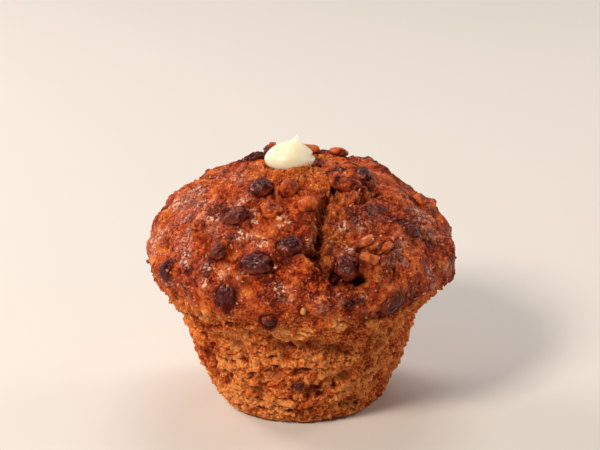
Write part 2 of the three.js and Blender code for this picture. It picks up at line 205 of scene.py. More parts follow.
def ring_faces(rings: int, around: int) -> list[list[int]]:
    """Faces of a closed surface of rings between a first and a last pole, all facing out.

    Vertex 0 is the first pole, ring after ring follows, and the last vertex is the last pole.

    Args:
        rings: How many rings.
        around: Vertices in a ring.

    Returns:
        Quads between rings, and triangles at the poles.
    """
    index = 1 + np.arange(rings * around).reshape(rings, around)
    beside = np.roll(index, -1, axis=1)
    quads = np.stack([index[:-1], index[1:], beside[1:], beside[:-1]], axis=-1).reshape(-1, 4)
    first = np.stack([np.zeros(around, int), index[0], beside[0]], axis=-1)
    last = np.stack([np.full(around, rings * around + 1), beside[-1], index[-1]], axis=-1)
    return quads.tolist() + first.tolist() + last.tolist()


def make_object(name: str, points: Array, faces: list, values: dict[str, Array] | None = None) -> Piece:
    """Makes one smooth-shaded object at the origin, unturned and unscaled.

    Args:
        name: The piece's name.
        points: Its vertices in mm.
        faces: Its faces, as vertex numbers.
        values: Named numbers for every vertex, which a finish reads.

    Returns:
        The new object.
    """
    mesh = bpy.data.meshes.new(name)
    mesh.from_pydata((points * METRES).tolist(), [], faces)
    mesh.update()
    mesh.shade_smooth()
    for key, numbers in (values or {}).items():
        mesh.attributes.new(key, "FLOAT", "POINT").data.foreach_set("value", numbers.astype(np.float32))
    piece = bpy.data.objects.new(name, mesh)
    bpy.context.scene.collection.objects.link(piece)
    return piece


def seat(piece: Piece, finish: "Finish", slot: str, *nodes: str) -> None:
    """Dresses a piece, lets it ride on the muffin and stand for its nodes, and reports it.

    Args:
        piece: The finished object.
        finish: What it is made of.
        slot: Its material slot's name, which is only logged.
        nodes: The CAD nodes that it stands for.
    """
    piece.data.materials.append(finish.material())
    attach(piece, "root")
    if nodes:
        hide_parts(*nodes)
    triangles = sum(len(face.vertices) - 2 for face in piece.data.polygons)
    LOG.info("%s: %d triangles, slot %s", piece.name, triangles, slot)


def unit_ball(rings: int, around: int) -> Array:
    """Directions over a ball: the pole, rings at even angles from it, and the other pole.

    Args:
        rings: How many rings.
        around: Points in a ring.

    Returns:
        Unit vectors, in the order that ring_faces reads.
    """
    fall = np.pi * np.arange(1, rings + 1) / (rings + 1)
    turn = 2 * np.pi * np.arange(around) / around
    fall, turn = np.meshgrid(fall, turn, indexing="ij")
    ball = np.stack([np.sin(fall) * np.cos(turn), np.sin(fall) * np.sin(turn), np.cos(fall)], axis=-1)
    return np.vstack([[0, 0, 1], ball.reshape(-1, 3), [0, 0, -1]])


# Material nodes


def linear(code: str) -> tuple[float, float, float, float]:
    """Turns an sRGB colour such as "#A1532C" into the linear one that a shader takes."""
    parts = [int(code[i : i + 2], 16) / 255 for i in (1, 3, 5)]
    return (*((c / 12.92 if c <= 0.04045 else ((c + 0.055) / 1.055) ** 2.4) for c in parts), 1.0)


def add_node(tree: Tree, kind: str, settings: dict | None = None, links: dict | None = None) -> Node:
    """Adds one node with its settings and links.

    Args:
        tree: Where it goes.
        kind: Its type.
        settings: Values by the name of a property or input, by an input's number, or a "ramp" of
            positions and colours.
        links: Outputs of other nodes, by the input that each feeds.

    Returns:
        The new node.
    """
    node = tree.nodes.new(kind)
    for key, value in (settings or {}).items():
        if key == "ramp":
            stops = node.color_ramp.elements
            while len(stops) < len(value):
                stops.new(0.5)
            for stop, (place, code) in zip(stops, value):
                stop.position = place
                stop.color = linear(code)
        elif isinstance(key, str) and hasattr(node, key):
            setattr(node, key, value)
        else:
            node.inputs[key].default_value = value
    for key, output in (links or {}).items():
        tree.links.new(output, node.inputs[key])
    return node


def mix_colors(tree: Tree, share: object, first: object, second: object) -> object:
    """Mixes two colours, each an output or a hex code.

    Args:
        tree: Where the node goes.
        share: The output that says how much of the second.
        first: The colour at 0.
        second: The colour at 1.

    Returns:
        The mixed colour's output.
    """
    settings, links = {"data_type": "RGBA"}, {0: share}
    for key, value in ((6, first), (7, second)):
        if isinstance(value, str):
            settings[key] = linear(value)
        else:
            links[key] = value
    return add_node(tree, "ShaderNodeMix", settings, links).outputs[2]


def color_ramp(tree: Tree, tone: object, stops: list[tuple[float, str]]) -> object:
    """Turns a number's output into a colour, by the positions and hex codes of a ramp."""
    return add_node(tree, "ShaderNodeValToRGB", {"ramp": stops}, {0: tone}).outputs[0]


def combine(tree: Tree, operation: str, first: object, second: object) -> object:
    """Makes one number's output of two, by an operation such as "ADD"."""
    return add_node(tree, "ShaderNodeMath", {"operation": operation}, {0: first, 1: second}).outputs[0]


def fit_range(
    tree: Tree, value: object, low: float, high: float, start: float = 0.0, end: float = 1.0
) -> object:
    """Carries a number from the range low to high over to start to end, held at both.

    Args:
        tree: Where the node goes.
        value: The number's output.
        low: Where it starts.
        high: Where it ends.
        start: What low becomes.
        end: What high becomes.

    Returns:
        The new number's output.
    """
    settings = {"From Min": low, "From Max": high, "To Min": start, "To Max": end}
    return add_node(tree, "ShaderNodeMapRange", settings, {"Value": value}).outputs["Result"]


def swing(tree: Tree, noise: object, most: float) -> object:
    """Turns noise into a number from less most to most, with the rare far values of the noise held there."""
    return fit_range(tree, noise, 0.3, 0.7, -most, most)


class Finish:
    """What a piece is made of. Each kind of finish makes its material once, under its own name."""

    name = "finish"

    def material(self) -> bpy.types.Material:
        """Gives the finish's material, made on first use."""
        made = bpy.data.materials.get(self.name)
        if made is None:
            made = bpy.data.materials.new(self.name)
            made.use_nodes = True
            self.wire(made.node_tree, made.node_tree.nodes["Principled BSDF"])
        return made

    def wire(self, tree: Tree, shader: Node) -> None:
        """Adds the finish's nodes; each kind has its own."""
        raise NotImplementedError

    @staticmethod
    def noise(tree: Tree, size: float, detail: float = 3.0, rough: float = 0.55) -> object:
        """Noise whose swell is size mm, on the piece's own coordinates.

        Args:
            tree: Where the nodes go.
            size: Swell in mm.
            detail: How many finer layers.
            rough: Height of each finer layer.

        Returns:
            The noise's output, from 0 to 1.
        """
        place = add_node(tree, "ShaderNodeTexCoord").outputs["Object"]
        settings = {"Scale": 1 / (size * METRES), "Detail": detail, "Roughness": rough}
        return add_node(tree, "ShaderNodeTexNoise", settings, {"Vector": place}).outputs[0]

    @staticmethod
    def layer(tree: Tree, name: str) -> object:
        """Reads one of the numbers that the piece carries at every vertex."""
        return add_node(tree, "ShaderNodeAttribute", {"attribute_name": name}).outputs["Fac"]

    @staticmethod
    def hold(shader: Node, values: dict[str, object]) -> None:
        """Sets constants on the shader's own sockets, by their names."""
        for name, value in values.items():
            shader.inputs[name].default_value = value

    def roughen(self, tree: Tree, shader: Node, size: float, depth: float, share: float) -> None:
        """Breaks the shading up with fine noise.

        Args:
            tree: Where the nodes go.
            shader: The finish's shader.
            size: Swell of the noise in mm.
            depth: Its height in mm.
            share: How strongly it shows, 0 to 1.
        """
        settings = {"Strength": share, "Distance": depth * METRES}
        bump = add_node(tree, "ShaderNodeBump", settings, {"Height": self.noise(tree, size)})
        tree.links.new(bump.outputs[0], shader.inputs["Normal"])


@dataclass(frozen=True)
class CrustFinish(Finish):
    """Baked muffin crust: browned sugar and batter, sticky on the crown and dry and open on the stump.

    It is matt and rough where the crumb is torn. Where the glaze has run it has small wet glints, and pale
    specks of painted highlight in its colour.
    """

    name: str = "baked_crust"
    grain: float = 0.65
    mottle: float = 2.3
    patch: float = 9.0
    bead: float = 1.25
    glint_grain: float = 1.2
    pale: str = "#E99654"
    gold: str = "#D26C31"
    brown: str = "#AA441F"
    deep: str = "#7C2611"
    burnt: str = "#3D0F08"
    crumb: str = "#EAAB68"
    crumb_dark: str = "#B25A2A"
    # Colour of the painted shade laid in pores, creases, holes and the trench of each burst.
    pit: str = "#6A2210"
    # Colour of juice stains, also laid as painted shade in the trench of a burst and round nuts and carrots.
    stain: str = "#4A1210"
    # Colour of the pale specks of painted highlight.
    painted_glint: str = "#F7C6A2"
    gleam: str = "#FFC0A0"

    def wire(self, tree: Tree, shader: Node) -> None:
        """Browns the crust; lays on it crumb, painted highlights, painted shade in its pores and creases, and
        juice stains that also carry some painted shade; and then the glaze.
        """
        grain = self.noise(tree, self.grain, 2.0)
        mottle = self.noise(tree, self.mottle, 4.0, 0.6)
        glaze = self.layer(tree, "glaze")
        crust = self.crust_color(tree, grain, mottle)
        color = mix_colors(tree, self.layer(tree, "crumb"), crust, self.crumb_color(tree, grain, mottle))
        # Pale specks laid on the wettest glaze are painted highlights.
        specks = fit_range(tree, self.noise(tree, self.glint_grain, 3.0), 0.51, 0.6, 0.0, 0.9)
        painted_glint = combine(tree, "MULTIPLY", fit_range(tree, glaze, 0.6, 1.0), specks)
        color = mix_colors(tree, painted_glint, color, self.painted_glint)
        # Painted shade in the pores, creases, holes and trenches.
        color = mix_colors(tree, self.layer(tree, "pit"), color, self.pit)
        color = mix_colors(tree, self.layer(tree, "stain"), color, self.stain)
        tree.links.new(color, shader.inputs["Base Color"])
        tree.links.new(fit_range(tree, glaze, 0.0, 1.0, 0.72, 0.3), shader.inputs["Roughness"])
        tree.links.new(fit_range(tree, glaze, 0.3, 1.0, 0.1, 0.22), shader.inputs["Specular IOR Level"])
        self.hold(shader, {
            "Specular Tint": linear(self.gleam),
            "Subsurface Weight": 0.1,
            "Subsurface Radius": (1.0, 0.45, 0.2),
            "Subsurface Scale": 1.2 * METRES,
        })
        settings = {"Strength": 0.8, "Distance": 1.0 * METRES}
        coarse = add_node(tree, "ShaderNodeBump", settings, {"Height": mottle}).outputs[0]
        settings = {"Strength": 1.0, "Distance": 0.7 * METRES}
        fine = add_node(tree, "ShaderNodeBump", settings, {"Height": grain, "Normal": coarse})
        tree.links.new(fine.outputs[0], shader.inputs["Normal"])
        self.glaze_over(tree, shader, glaze, coarse)

    def crust_color(self, tree: Tree, grain: object, mottle: object) -> object:
        """Colours the crust by its bake, moved up and down by its mottling, its grain and broad patches.

        Args:
            tree: Where the nodes go.
            grain: The fine noise's output.
            mottle: The coarser noise's output.

        Returns:
            The colour's output.
        """
        patch = self.noise(tree, self.patch, 2.0)
        tone = combine(tree, "ADD", self.layer(tree, "bake"), swing(tree, mottle, 0.27))
        grained = fit_range(tree, patch, 0.38, 0.62, 0.35, 1.1)
        tone = combine(tree, "ADD", tone, combine(tree, "MULTIPLY", swing(tree, grain, 0.34), grained))
        tone = combine(tree, "ADD", tone, swing(tree, patch, 0.2))
        light = [(0.0, self.pale), (0.25, self.gold), (0.52, self.brown)]
        return color_ramp(tree, tone, light + [(0.76, self.deep), (1.0, self.burnt)])

    def crumb_color(self, tree: Tree, grain: object, mottle: object) -> object:
        """Colours the torn crumb of the burst, darker in its grain and mottling.

        Args:
            tree: Where the nodes go.
            grain: The fine noise's output.
            mottle: The coarser noise's output.

        Returns:
            The colour's output.
        """
        coarse = fit_range(tree, mottle, 0.3, 0.7, 0.1, 0.5)
        tone = combine(tree, "ADD", coarse, fit_range(tree, grain, 0.34, 0.68, 0.0, 0.6))
        stops = [(0.2, self.crumb), (0.5, self.gold), (0.72, self.crumb_dark), (1.0, self.deep)]
        return color_ramp(tree, tone, stops)

    def glaze_over(self, tree: Tree, shader: Node, glaze: object, under: object) -> None:
        """Coats the crust with glaze, which has drawn up into round wet beads between the grains.

        Juice and open pores drink the glaze in, so they stay dull.

        Args:
            tree: Where the nodes go.
            shader: The finish's shader.
            glaze: How wet the crust is, an output.
            under: The normal of the crust's coarse relief, an output.
        """
        place = add_node(tree, "ShaderNodeTexCoord").outputs["Object"]
        settings = {"feature": "SMOOTH_F1", "Scale": 1 / (self.bead * METRES), "Smoothness": 0.4}
        beads = add_node(tree, "ShaderNodeTexVoronoi", settings, {"Vector": place}).outputs["Distance"]
        drunk = combine(tree, "MAXIMUM", self.layer(tree, "pit"), self.layer(tree, "stain"))
        dull = fit_range(tree, drunk, 0.1, 0.7, 1.0, 0.05)
        wet = combine(tree, "MULTIPLY", fit_range(tree, glaze, 0.3, 0.85), dull)
        coat = combine(tree, "MULTIPLY", wet, fit_range(tree, beads, 0.2, 0.5, 1.0, 0.2))
        tree.links.new(coat, shader.inputs["Coat Weight"])
        self.hold(shader, {"Coat Roughness": 0.1, "Coat IOR": 1.7})
        links = {"Height": fit_range(tree, beads, 0.0, 0.7, 1.0, 0.0), "Normal": under}
        domes = add_node(tree, "ShaderNodeBump", {"Strength": 1.0, "Distance": 0.22 * METRES}, links)
        tree.links.new(domes.outputs[0], shader.inputs["Coat Normal"])


@dataclass(frozen=True)
class RaisinFinish(Finish):
    """Baked raisin: a dark dried skin over wrinkles, sticky with sugar, so it glints along the folds."""

    name: str = "baked_raisin"
    skin: str = "#3E1014"
    # Painted shade for the folds, and painted light for the ridges.
    fold: str = "#1E0709"
    lit_ridge: str = "#6A241C"
    sheen: str = "#F2B8AC"
    crust: str = "#82381E"

    def wire(self, tree: Tree, shader: Node) -> None:
        """Darkens the folds with painted shade, warms and lightens the ridges with painted light, and lets
        the crust run over the rim in a sticky film.
        """
        blotch = self.noise(tree, 1.8, 3.0)
        ridge = self.layer(tree, "ridge")
        # Painted shade in the folds.
        color = mix_colors(tree, fit_range(tree, ridge, 0.2, 0.75), self.fold, self.skin)
        # Painted light on the ridges, in patches.
        ridge_mix = fit_range(tree, ridge, 0.55, 1.0, 0.0, 0.8)
        warm = combine(tree, "MULTIPLY", ridge_mix, fit_range(tree, blotch, 0.4, 0.65))
        color = mix_colors(tree, warm, color, self.lit_ridge)
        specks = fit_range(tree, self.noise(tree, 0.9, 3.0), 0.3, 0.5, 0.45, 1.0)
        film = combine(tree, "MULTIPLY", self.layer(tree, "film"), specks)
        tree.links.new(mix_colors(tree, film, color, self.crust), shader.inputs["Base Color"])
        tree.links.new(fit_range(tree, blotch, 0.3, 0.7, 0.3, 0.52), shader.inputs["Roughness"])
        self.hold(shader, {
            "Specular IOR Level": 0.3,
            "Specular Tint": linear(self.sheen),
            "Coat Weight": 0.12,
            "Coat Roughness": 0.12,
        })
        self.roughen(tree, shader, 0.7, 0.3, 0.5)


@dataclass(frozen=True)
class NutFinish(Finish):
    """Toasted walnut under browned glaze: warm orange-brown, wet on top, with dark creases."""

    name: str = "glazed_walnut"
    bright: str = "#C25A1C"
    middle: str = "#8E3214"
    dark: str = "#40120C"
    gleam: str = "#FFC0A0"

    def wire(self, tree: Tree, shader: Node) -> None:
        """Toasts the nut unevenly, darkens its creases and gives it a wet coat."""
        toast = self.noise(tree, 2.2, 4.0, 0.6)
        tone = combine(tree, "ADD", swing(tree, toast, 0.25), self.layer(tree, "ridge"))
        color = color_ramp(tree, tone, [(0.15, self.dark), (0.5, self.middle), (0.9, self.bright)])
        tree.links.new(color, shader.inputs["Base Color"])
        tree.links.new(fit_range(tree, toast, 0.3, 0.7, 0.36, 0.58), shader.inputs["Roughness"])
        self.hold(shader, {
            "Specular IOR Level": 0.3,
            "Specular Tint": linear(self.gleam),
            "Coat Weight": 0.16,
            "Coat Roughness": 0.16,
            "Subsurface Weight": 0.1,
            "Subsurface Scale": 1.0 * METRES,
        })
        self.roughen(tree, shader, 0.8, 0.3, 0.5)


@dataclass(frozen=True)
class CarrotFinish(Finish):
    """Roasted carrot stick: orange-red flesh, browned at its edges and moist."""

    name: str = "roasted_carrot"
    flesh: str = "#CA6222"
    edge: str = "#6E2512"

    def wire(self, tree: Tree, shader: Node) -> None:
        """Browns the stick in patches and at its ends, darkens its underside as painted shade, and gives it a
        moist gloss.
        """
        brown = self.noise(tree, 2.0, 3.0)
        color = mix_colors(tree, fit_range(tree, brown, 0.46, 0.66, 0.0, 0.9), self.flesh, self.edge)
        # Browned ends, and the underside darkened as painted shade.
        ridge_mix = fit_range(tree, self.layer(tree, "ridge"), 0.7, 0.1, 0.0, 0.9)
        color = mix_colors(tree, ridge_mix, color, self.edge)
        tree.links.new(color, shader.inputs["Base Color"])
        self.hold(shader, {
            "Roughness": 0.38,
            "Coat Weight": 0.25,
            "Coat Roughness": 0.2,
            "Subsurface Weight": 0.15,
            "Subsurface Scale": 1.0 * METRES,
        })
        self.roughen(tree, shader, 0.6, 0.2, 0.4)


@dataclass(frozen=True)
class IcingFinish(Finish):
    """Cream-cheese icing: fat and sugar whipped smooth, so light sinks in and its gloss is soft."""

    name: str = "cream_icing"
    cream: str = "#EFE3C8"
    shade: str = "#ECDCB4"

    def wire(self, tree: Tree, shader: Node) -> None:
        """Tints the cream a little unevenly, and lets light into it."""
        cloud = self.noise(tree, 5.0, 2.0)
        color = mix_colors(tree, fit_range(tree, cloud, 0.35, 0.7), self.cream, self.shade)
        tree.links.new(color, shader.inputs["Base Color"])
        self.hold(shader, {
            "Roughness": 0.42,
            "Subsurface Weight": 1.0,
            "Subsurface Radius": (1.0, 0.9, 0.65),
            "Subsurface Scale": 11.0 * METRES,
        })
        self.roughen(tree, shader, 1.2, 0.2, 0.15)


@dataclass(frozen=True)
class FloorFinish(Finish):
    """Plain pale table top, matt paint on board."""

    name: str = "pale_floor"
    paint: str = "#D6D3CD"

    def wire(self, tree: Tree, shader: Node) -> None:
        """Paints it one pale colour with a barely uneven sheen."""
        self.hold(shader, {"Base Color": linear(self.paint)})
        uneven = self.noise(tree, 60.0)
        tree.links.new(fit_range(tree, uneven, 0.0, 1.0, 0.6, 0.7), shader.inputs["Roughness"])


# Form


@dataclass
class Skin:
    """Points of the muffin's skin, each an array over the same points."""

    point: Array
    normal: Array
    crown: Array
    height: Array
    down: Array

    def frame_at(self, turn: float) -> Array:
        """Gives the first point's axes: along the skin at turn degrees from level, across it, and out."""
        normal = self.normal[0]
        across = np.array([-normal[1], normal[0], 0.0]) / max(np.hypot(normal[0], normal[1]), 1e-9)
        up = np.cross(normal, across)
        first = across * math.cos(math.radians(turn)) + up * math.sin(math.radians(turn))
        return np.stack([first, np.cross(normal, first), normal])


@dataclass
class Crack:
    """A burst in the crown, through spots that are azimuth in degrees, mm down and half width in mm."""

    spots: list[tuple[float, float, float]]
    steps: int = 4
    taper: float = 0.22
    end: float = 0.3

    def stations(self, form: "MuffinForm") -> tuple[Array, Array]:
        """Carries the crack over the skin on a smooth curve through its spots.

        Between two spots the place is the cubic that leaves each along the line between its neighbours,
        and the half width goes straight from one to the next and tapers at both ends.

        Args:
            form: The muffin's form.

        Returns:
            The places in mm, and the half widths.
        """
        azimuth, down, half = np.array(self.spots).T
        place = form.skin(np.radians(azimuth), down).point
        ends = [2 * place[:1] - place[1:2], place, 2 * place[-1:] - place[-2:-1]]
        knots = np.vstack(ends)
        count = len(place) - 1
        share = np.linspace(0, 1, self.steps * count + 1)
        piece = np.minimum((share * count).astype(int), count - 1)
        t = (share * count - piece)[:, None]
        a, b, c, d = (knots[piece + k] for k in range(4))
        straight = 2 * b + (c - a) * t
        bent = (2 * a - 5 * b + 4 * c - d) * t**2 + (3 * b - a - 3 * c + d) * t**3
        taper = blend(self.end, 1.0, smooth(0, self.taper, np.minimum(share, 1 - share)))
        return (straight + bent) / 2, taper * np.interp(share * count, np.arange(count + 1), half)


@dataclass
class MuffinForm:
    """The muffin's form, from the same sizes as its solid: mm, with the foot on the floor.

    The outline is a round heel, the stump's wall, the lip and a dome that is a superellipse. It is turned
    about the axis, and then the crown gets its lobes, its lean and its uneven lip. A burst is open inside
    its trough and bare inside its tear, both as shares of its half width.
    """

    foot_radius: float = 25.5
    flat_share: float = 0.87
    heel_share: float = 1.08
    heel_height: float = 4.6
    heel_round: float = 1.5
    neck_share: float = 1.41
    neck_height: float = 28.0
    stump_bulge: float = 0.8
    crown_share: float = 1.863
    rim_height: float = 48.5
    crown_top: float = 76.6
    crown_power: float = 1.68
    crown_lean: float = 0.5
    crown_fade: float = 4.0
    lip_knee: tuple[float, float] = (1.6, 5.5)
    lip_drop: float = 8.5
    lip_rise: float = 1.2
    lip_lift: float = 0.6
    lip_height: float = 36.0
    lip_spread: float = 7.0
    lobes: tuple = ((2, 0.006, 0.9), (3, 0.009, 2.3), (5, 0.007, 0.4), (7, 0.004, 4.1))
    crown_lumps: float = 1.0
    stump_lumps: float = 0.45
    waves: int = 9
    longest: float = 27.0
    shortest: float = 9.0
    outline_steps: int = 60
    trough: tuple[float, float] = (0.3, 1.1)
    tear: tuple[float, float] = (0.75, 1.12)
    edge_place: float = 1.3
    edge_curl: float = 0.3
    edge_reach: float = 2.8
    steepness: float = 1.7
    deepest: float = 7.0
    shift: Array = field(default_factory=lambda: np.zeros(3))

    def __post_init__(self) -> None:
        """Works out the outline, the waves of the lumps, and the cracks."""
        self.outline = self.make_outline()
        steps = np.linalg.norm(np.diff(self.outline, axis=0), axis=1)
        self.lengths = np.concatenate([[0], np.cumsum(steps)])
        self.reach = float(self.lengths[-1])
        k = np.arange(self.waves)
        height = 1 - (2 * k + 1) / self.waves
        across = np.sqrt(1 - height**2)
        turn = k * GOLDEN_ANGLE
        self.wave_ways = np.stack([across * np.cos(turn), across * np.sin(turn), height], axis=-1)
        self.wave_sizes = self.longest * (self.shortest / self.longest) ** (k / (self.waves - 1))
        self.wave_phases = k * k * GOLDEN_ANGLE
        self.cracks = [crack.stations(self) for crack in CRACKS]

    def make_outline(self) -> Array:
        """Draws the outline from the top of the dome to the edge of the flat foot.

        The heel and the wall are curves of one control point, the lip of two, and the dome's radius and
        rise are the cosine and sine of an angle to the power 2 over crown_power.

        Returns:
            Radius and height of each point, in mm.
        """
        flat, heel = self.flat_share * self.foot_radius, self.heel_share * self.foot_radius
        neck, crown = self.neck_share * self.foot_radius, self.crown_share * self.foot_radius
        t = np.linspace(0, 1, self.outline_steps + 1)[:-1, None]

        def bend(*knots: tuple[float, float]) -> Array:
            """A curve drawn towards each knot in turn, by halving the way between them."""
            rows = [np.array(knot) + 0 * t for knot in knots]
            while len(rows) > 1:
                rows = [blend(a, b, t) for a, b in zip(rows, rows[1:])]
            return rows[0]

        middle = ((heel + neck) / 2 + self.stump_bulge, (self.heel_height + self.neck_height) / 2)
        low = bend((flat, 0), (heel - self.heel_round, 0), (heel, self.heel_height))
        wall = bend((heel, self.heel_height), middle, (neck, self.neck_height))
        lip = bend(
            (neck, self.neck_height),
            (neck + self.lip_knee[0], self.neck_height + self.lip_knee[1]),
            (crown, self.rim_height - self.lip_drop),
            (crown, self.rim_height),
        )
        angle = (np.pi / 4) * np.arange(2 * self.outline_steps + 1) / self.outline_steps
        out = np.maximum(np.cos(angle), 0) ** (2 / self.crown_power)
        up = np.sin(angle) ** (2 / self.crown_power)
        dome = np.stack([crown * out, self.rim_height + (self.crown_top - self.rim_height) * up], axis=-1)
        return np.vstack([low, wall, lip, dome])[::-1]

    def skin(self, azimuth: Array, down: Array) -> Skin:
        """Gives the smooth skin, before any relief.

        The outline's point at that length is turned to the azimuth, and the radius grows by the sum of the
        lobes. The height moves by the lip's rise less the crown's lean, times the cosine, and by the lip's
        lift.

        Args:
            azimuth: Angles in radians from +X.
            down: Lengths along the skin from the top, in mm.

        Returns:
            The skin at those places, in the model's frame.
        """
        azimuth = np.atleast_1d(azimuth)
        down = np.clip(np.atleast_1d(down), 0, self.reach)
        last = len(self.outline) - 1
        after = np.clip(np.searchsorted(self.lengths, down), 1, last)
        share = (down - self.lengths[after - 1]) / (self.lengths[after] - self.lengths[after - 1])
        spot = blend(self.outline[after - 1], self.outline[after], share[:, None])
        along = self.outline[np.minimum(after + 1, last)] - self.outline[np.maximum(after - 2, 0)]
        along = along / np.linalg.norm(along, axis=-1, keepdims=True)
        radius, height = spot.T
        out_radius = np.where(down == 0, 0.0, -along[:, 1])
        out_height = np.where(down == 0, 1.0, along[:, 0])
        crown = smooth(self.neck_height, self.rim_height - self.crown_fade, height)
        lip = bell(height - self.lip_height, self.lip_spread)
        lobes = sum(swell * np.sin(count * azimuth + phase) for count, swell, phase in self.lobes)
        wide = radius * (1 + crown * lobes)
        lean = self.crown_lean * crown * radius / (self.crown_share * self.foot_radius)
        rise = np.cos(azimuth) * (self.lip_rise * lip - lean) + self.lip_lift * lip
        point = np.stack([wide * np.cos(azimuth), wide * np.sin(azimuth), height + rise], axis=-1)
        normal = np.stack([out_radius * np.cos(azimuth), out_radius * np.sin(azimuth), out_height], axis=-1)
        normal = normal / np.linalg.norm(normal, axis=-1, keepdims=True)
        return Skin(point, normal, crown, height, down)

    def spot(self, azimuth: float, down: float) -> Array:
        """Gives the place on the smooth skin at azimuth degrees and down mm."""
        return self.skin(np.radians(azimuth), np.array(down)).point[0]

    def top_spot(self, x: float, y: float) -> Array:
        """Gives the place on the smooth crown towards x and y, as far down the skin as they are out."""
        return self.spot(math.degrees(math.atan2(y, x)), math.hypot(x, y))

    def lumps(self, point: Array) -> Array:
        """Uneven swelling of the crust: a sum of sine waves that run every way, about -1 to 1."""
        turns = 2 * np.pi * (point @ self.wave_ways.T) / self.wave_sizes
        return np.sin(turns + self.wave_phases).sum(-1) / math.sqrt(self.waves)

    def crack_field(self, point: Array, wobble: Array) -> tuple[Array, Array, Array]:
        """Measures how near each point is to a crack.

        The distance to the nearest stretch of a crack is divided by the half width there and moved by the
        wobble. The trough fades out between its two shares, and the crust curls up just outside it.

        Args:
            point: Places on the smooth skin.
            wobble: How far the torn edge strays there, as a share of the half width.

        Returns:
            The trough's depth in mm, the height of the curl in mm, and how much crumb shows, 0 to 1.
        """
        depth, curl, bare = (np.zeros(len(point)) for _ in range(3))
        for curve, half in self.cracks:
            for start, end, first, second in zip(curve, curve[1:], half, half[1:]):
                along = end - start
                offset = point - start
                share = np.clip(offset @ along / (along @ along), 0, 1)
                distance = np.linalg.norm(offset - share[:, None] * along, axis=-1)
                width = blend(first, second, share)
                reach = distance / width + wobble
                deep = np.minimum(self.deepest, self.steepness * width)
                depth = np.maximum(depth, deep * (1 - smooth(*self.trough, reach)))
                lift = self.edge_curl * width * bell(distance - self.edge_place * width, self.edge_reach)
                curl = np.maximum(curl, lift)
                bare = np.maximum(bare, 1 - smooth(*self.tear, reach))
        return depth, curl, bare


CRACKS = [
    Crack([
        (-34, 14, 1.2), (-52, 17.3, 1.9), (-66, 21.8, 1.9), (-77, 29.9, 2.2),
        (-79, 35.2, 2.4), (-80, 39, 2.6), (-83, 42.1, 2.4),
    ]),
    Crack([
        (-92, 43.4, 1.4), (-87.5, 42.7, 2.2), (-83.6, 43.4, 2.8), (-78.5, 47.5, 3.0),
        (-73.8, 50.6, 3.0), (-66.4, 52.2, 3.6), (-64.2, 56.4, 2.4),
    ]),
    Crack([(-60, 22.7, 1.4), (-55, 24.7, 2.0), (-46.4, 26.2, 2.2), (-27.6, 25.5, 1.8), (-15.3, 27.6, 1.2)]),
    Crack([(-64.8, 43, 1.4), (-61, 43.6, 1.8), (-57.4, 45.2, 1.8), (-51.8, 46.2, 1.4)]),
    Crack([(70, 24, 1.4), (76, 31, 2.8), (82, 38, 3.0), (86, 46, 1.8)]),
    Crack([(66, 31, 1.8), (46, 36, 2.6), (30, 42, 1.8)]),
    Crack([(163, 31, 1.4), (156, 37, 2.8), (148, 45, 2.8), (146, 53, 1.8)]),
]

# Hollows of the crown, and two swellings with a depth below 0: azimuth, mm down, half width, half height
# and depth in mm.
DENTS = [
    (-70.2, 46.1, 7.5, 7.0, 2.4),
    (-64.5, 37.7, 3.6, 3.4, 1.8),
    (-70.6, 32, 4.2, 3.6, 1.6),
    (-74, 38.5, 4.2, 3.6, 1.6),
    (-52.2, 20.3, 3.6, 3.2, 1.2),
    (4.6, 43.5, 6.0, 5.0, 2.2),
    (-65.0, 52.4, 2.4, 2.6, 2.6),
    (-42.3, 22.6, 3.0, 2.6, -1.6),
    (-88.9, 60.5, 1.2, 1.2, -0.9),
]

# Larger holes of the stump: azimuth, mm down, half width, half height and depth in mm.
HOLES = [
    (-84.5, 79.5, 4.8, 2.4, 2.0),
    (-98, 80.5, 4.4, 2.6, 1.8),
    (-72, 82, 4.2, 2.6, 1.3),
    (-115.5, 99.5, 4.2, 2.0, 1.8),
    (-22, 88, 2.8, 2.4, 1.6),
    (-104, 91, 3.2, 2.0, 1.2),
    (-66, 93, 2.8, 2.6, 1.5),
    (-122, 82, 3.0, 2.6, 1.3),
    (-48, 84, 2.6, 1.8, 1.2),
    (-40, 99, 3.0, 2.0, 1.2),
    (-84, 98, 3.4, 1.8, 1.1),
    (-146, 90, 3.0, 2.2, 1.2),
    (12, 84, 4.0, 2.4, 1.6),
    (38, 95, 3.4, 2.2, 1.4),
    (66, 82, 3.6, 2.6, 1.6),
    (92, 92, 4.4, 2.2, 1.7),
    (118, 81, 3.2, 2.2, 1.3),
    (140, 96, 3.8, 2.0, 1.5),
    (168, 84, 3.6, 2.6, 1.5),
]

# Smaller pits, in the same order of numbers.
PITS = [
    (-65.0, 52.4, 2.6, 2.6, 1.4),
    (-121.6, 26.7, 1.7, 1.5, 1.6),
    (-119.5, 85.2, 1.7, 1.6, 1.1),
    (-55.4, 84.8, 1.2, 1.2, 1.0),
    (-53.3, 79.5, 1.4, 1.3, 1.1),
    (-67.5, 93.3, 2.0, 1.8, 1.1),
    (-50.5, 91.8, 2.0, 1.2, 0.9),
    (-110.9, 93.5, 1.6, 1.3, 0.9),
    (-84.4, 98.0, 3.0, 1.2, 0.8),
    (-92.0, 89.2, 1.8, 0.9, 0.8),
    (-55.9, 104.6, 3.4, 2.4, 1.5),
    (-142.6, 92.6, 1.1, 1.1, 0.8),
    (-146.0, 98.9, 1.3, 1.1, 0.8),
    (-102.7, 88.3, 2.2, 0.9, 0.9),
    (-96.9, 84.6, 2.0, 1.6, 1.0),
    (-74.1, 81.1, 1.2, 1.0, 1.0),
    (25.0, 90.0, 1.8, 1.4, 1.0),
    (80.0, 86.0, 1.6, 1.6, 1.0),
    (104.0, 98.0, 2.4, 1.3, 1.0),
    (155.0, 91.0, 1.9, 1.5, 1.0),
]
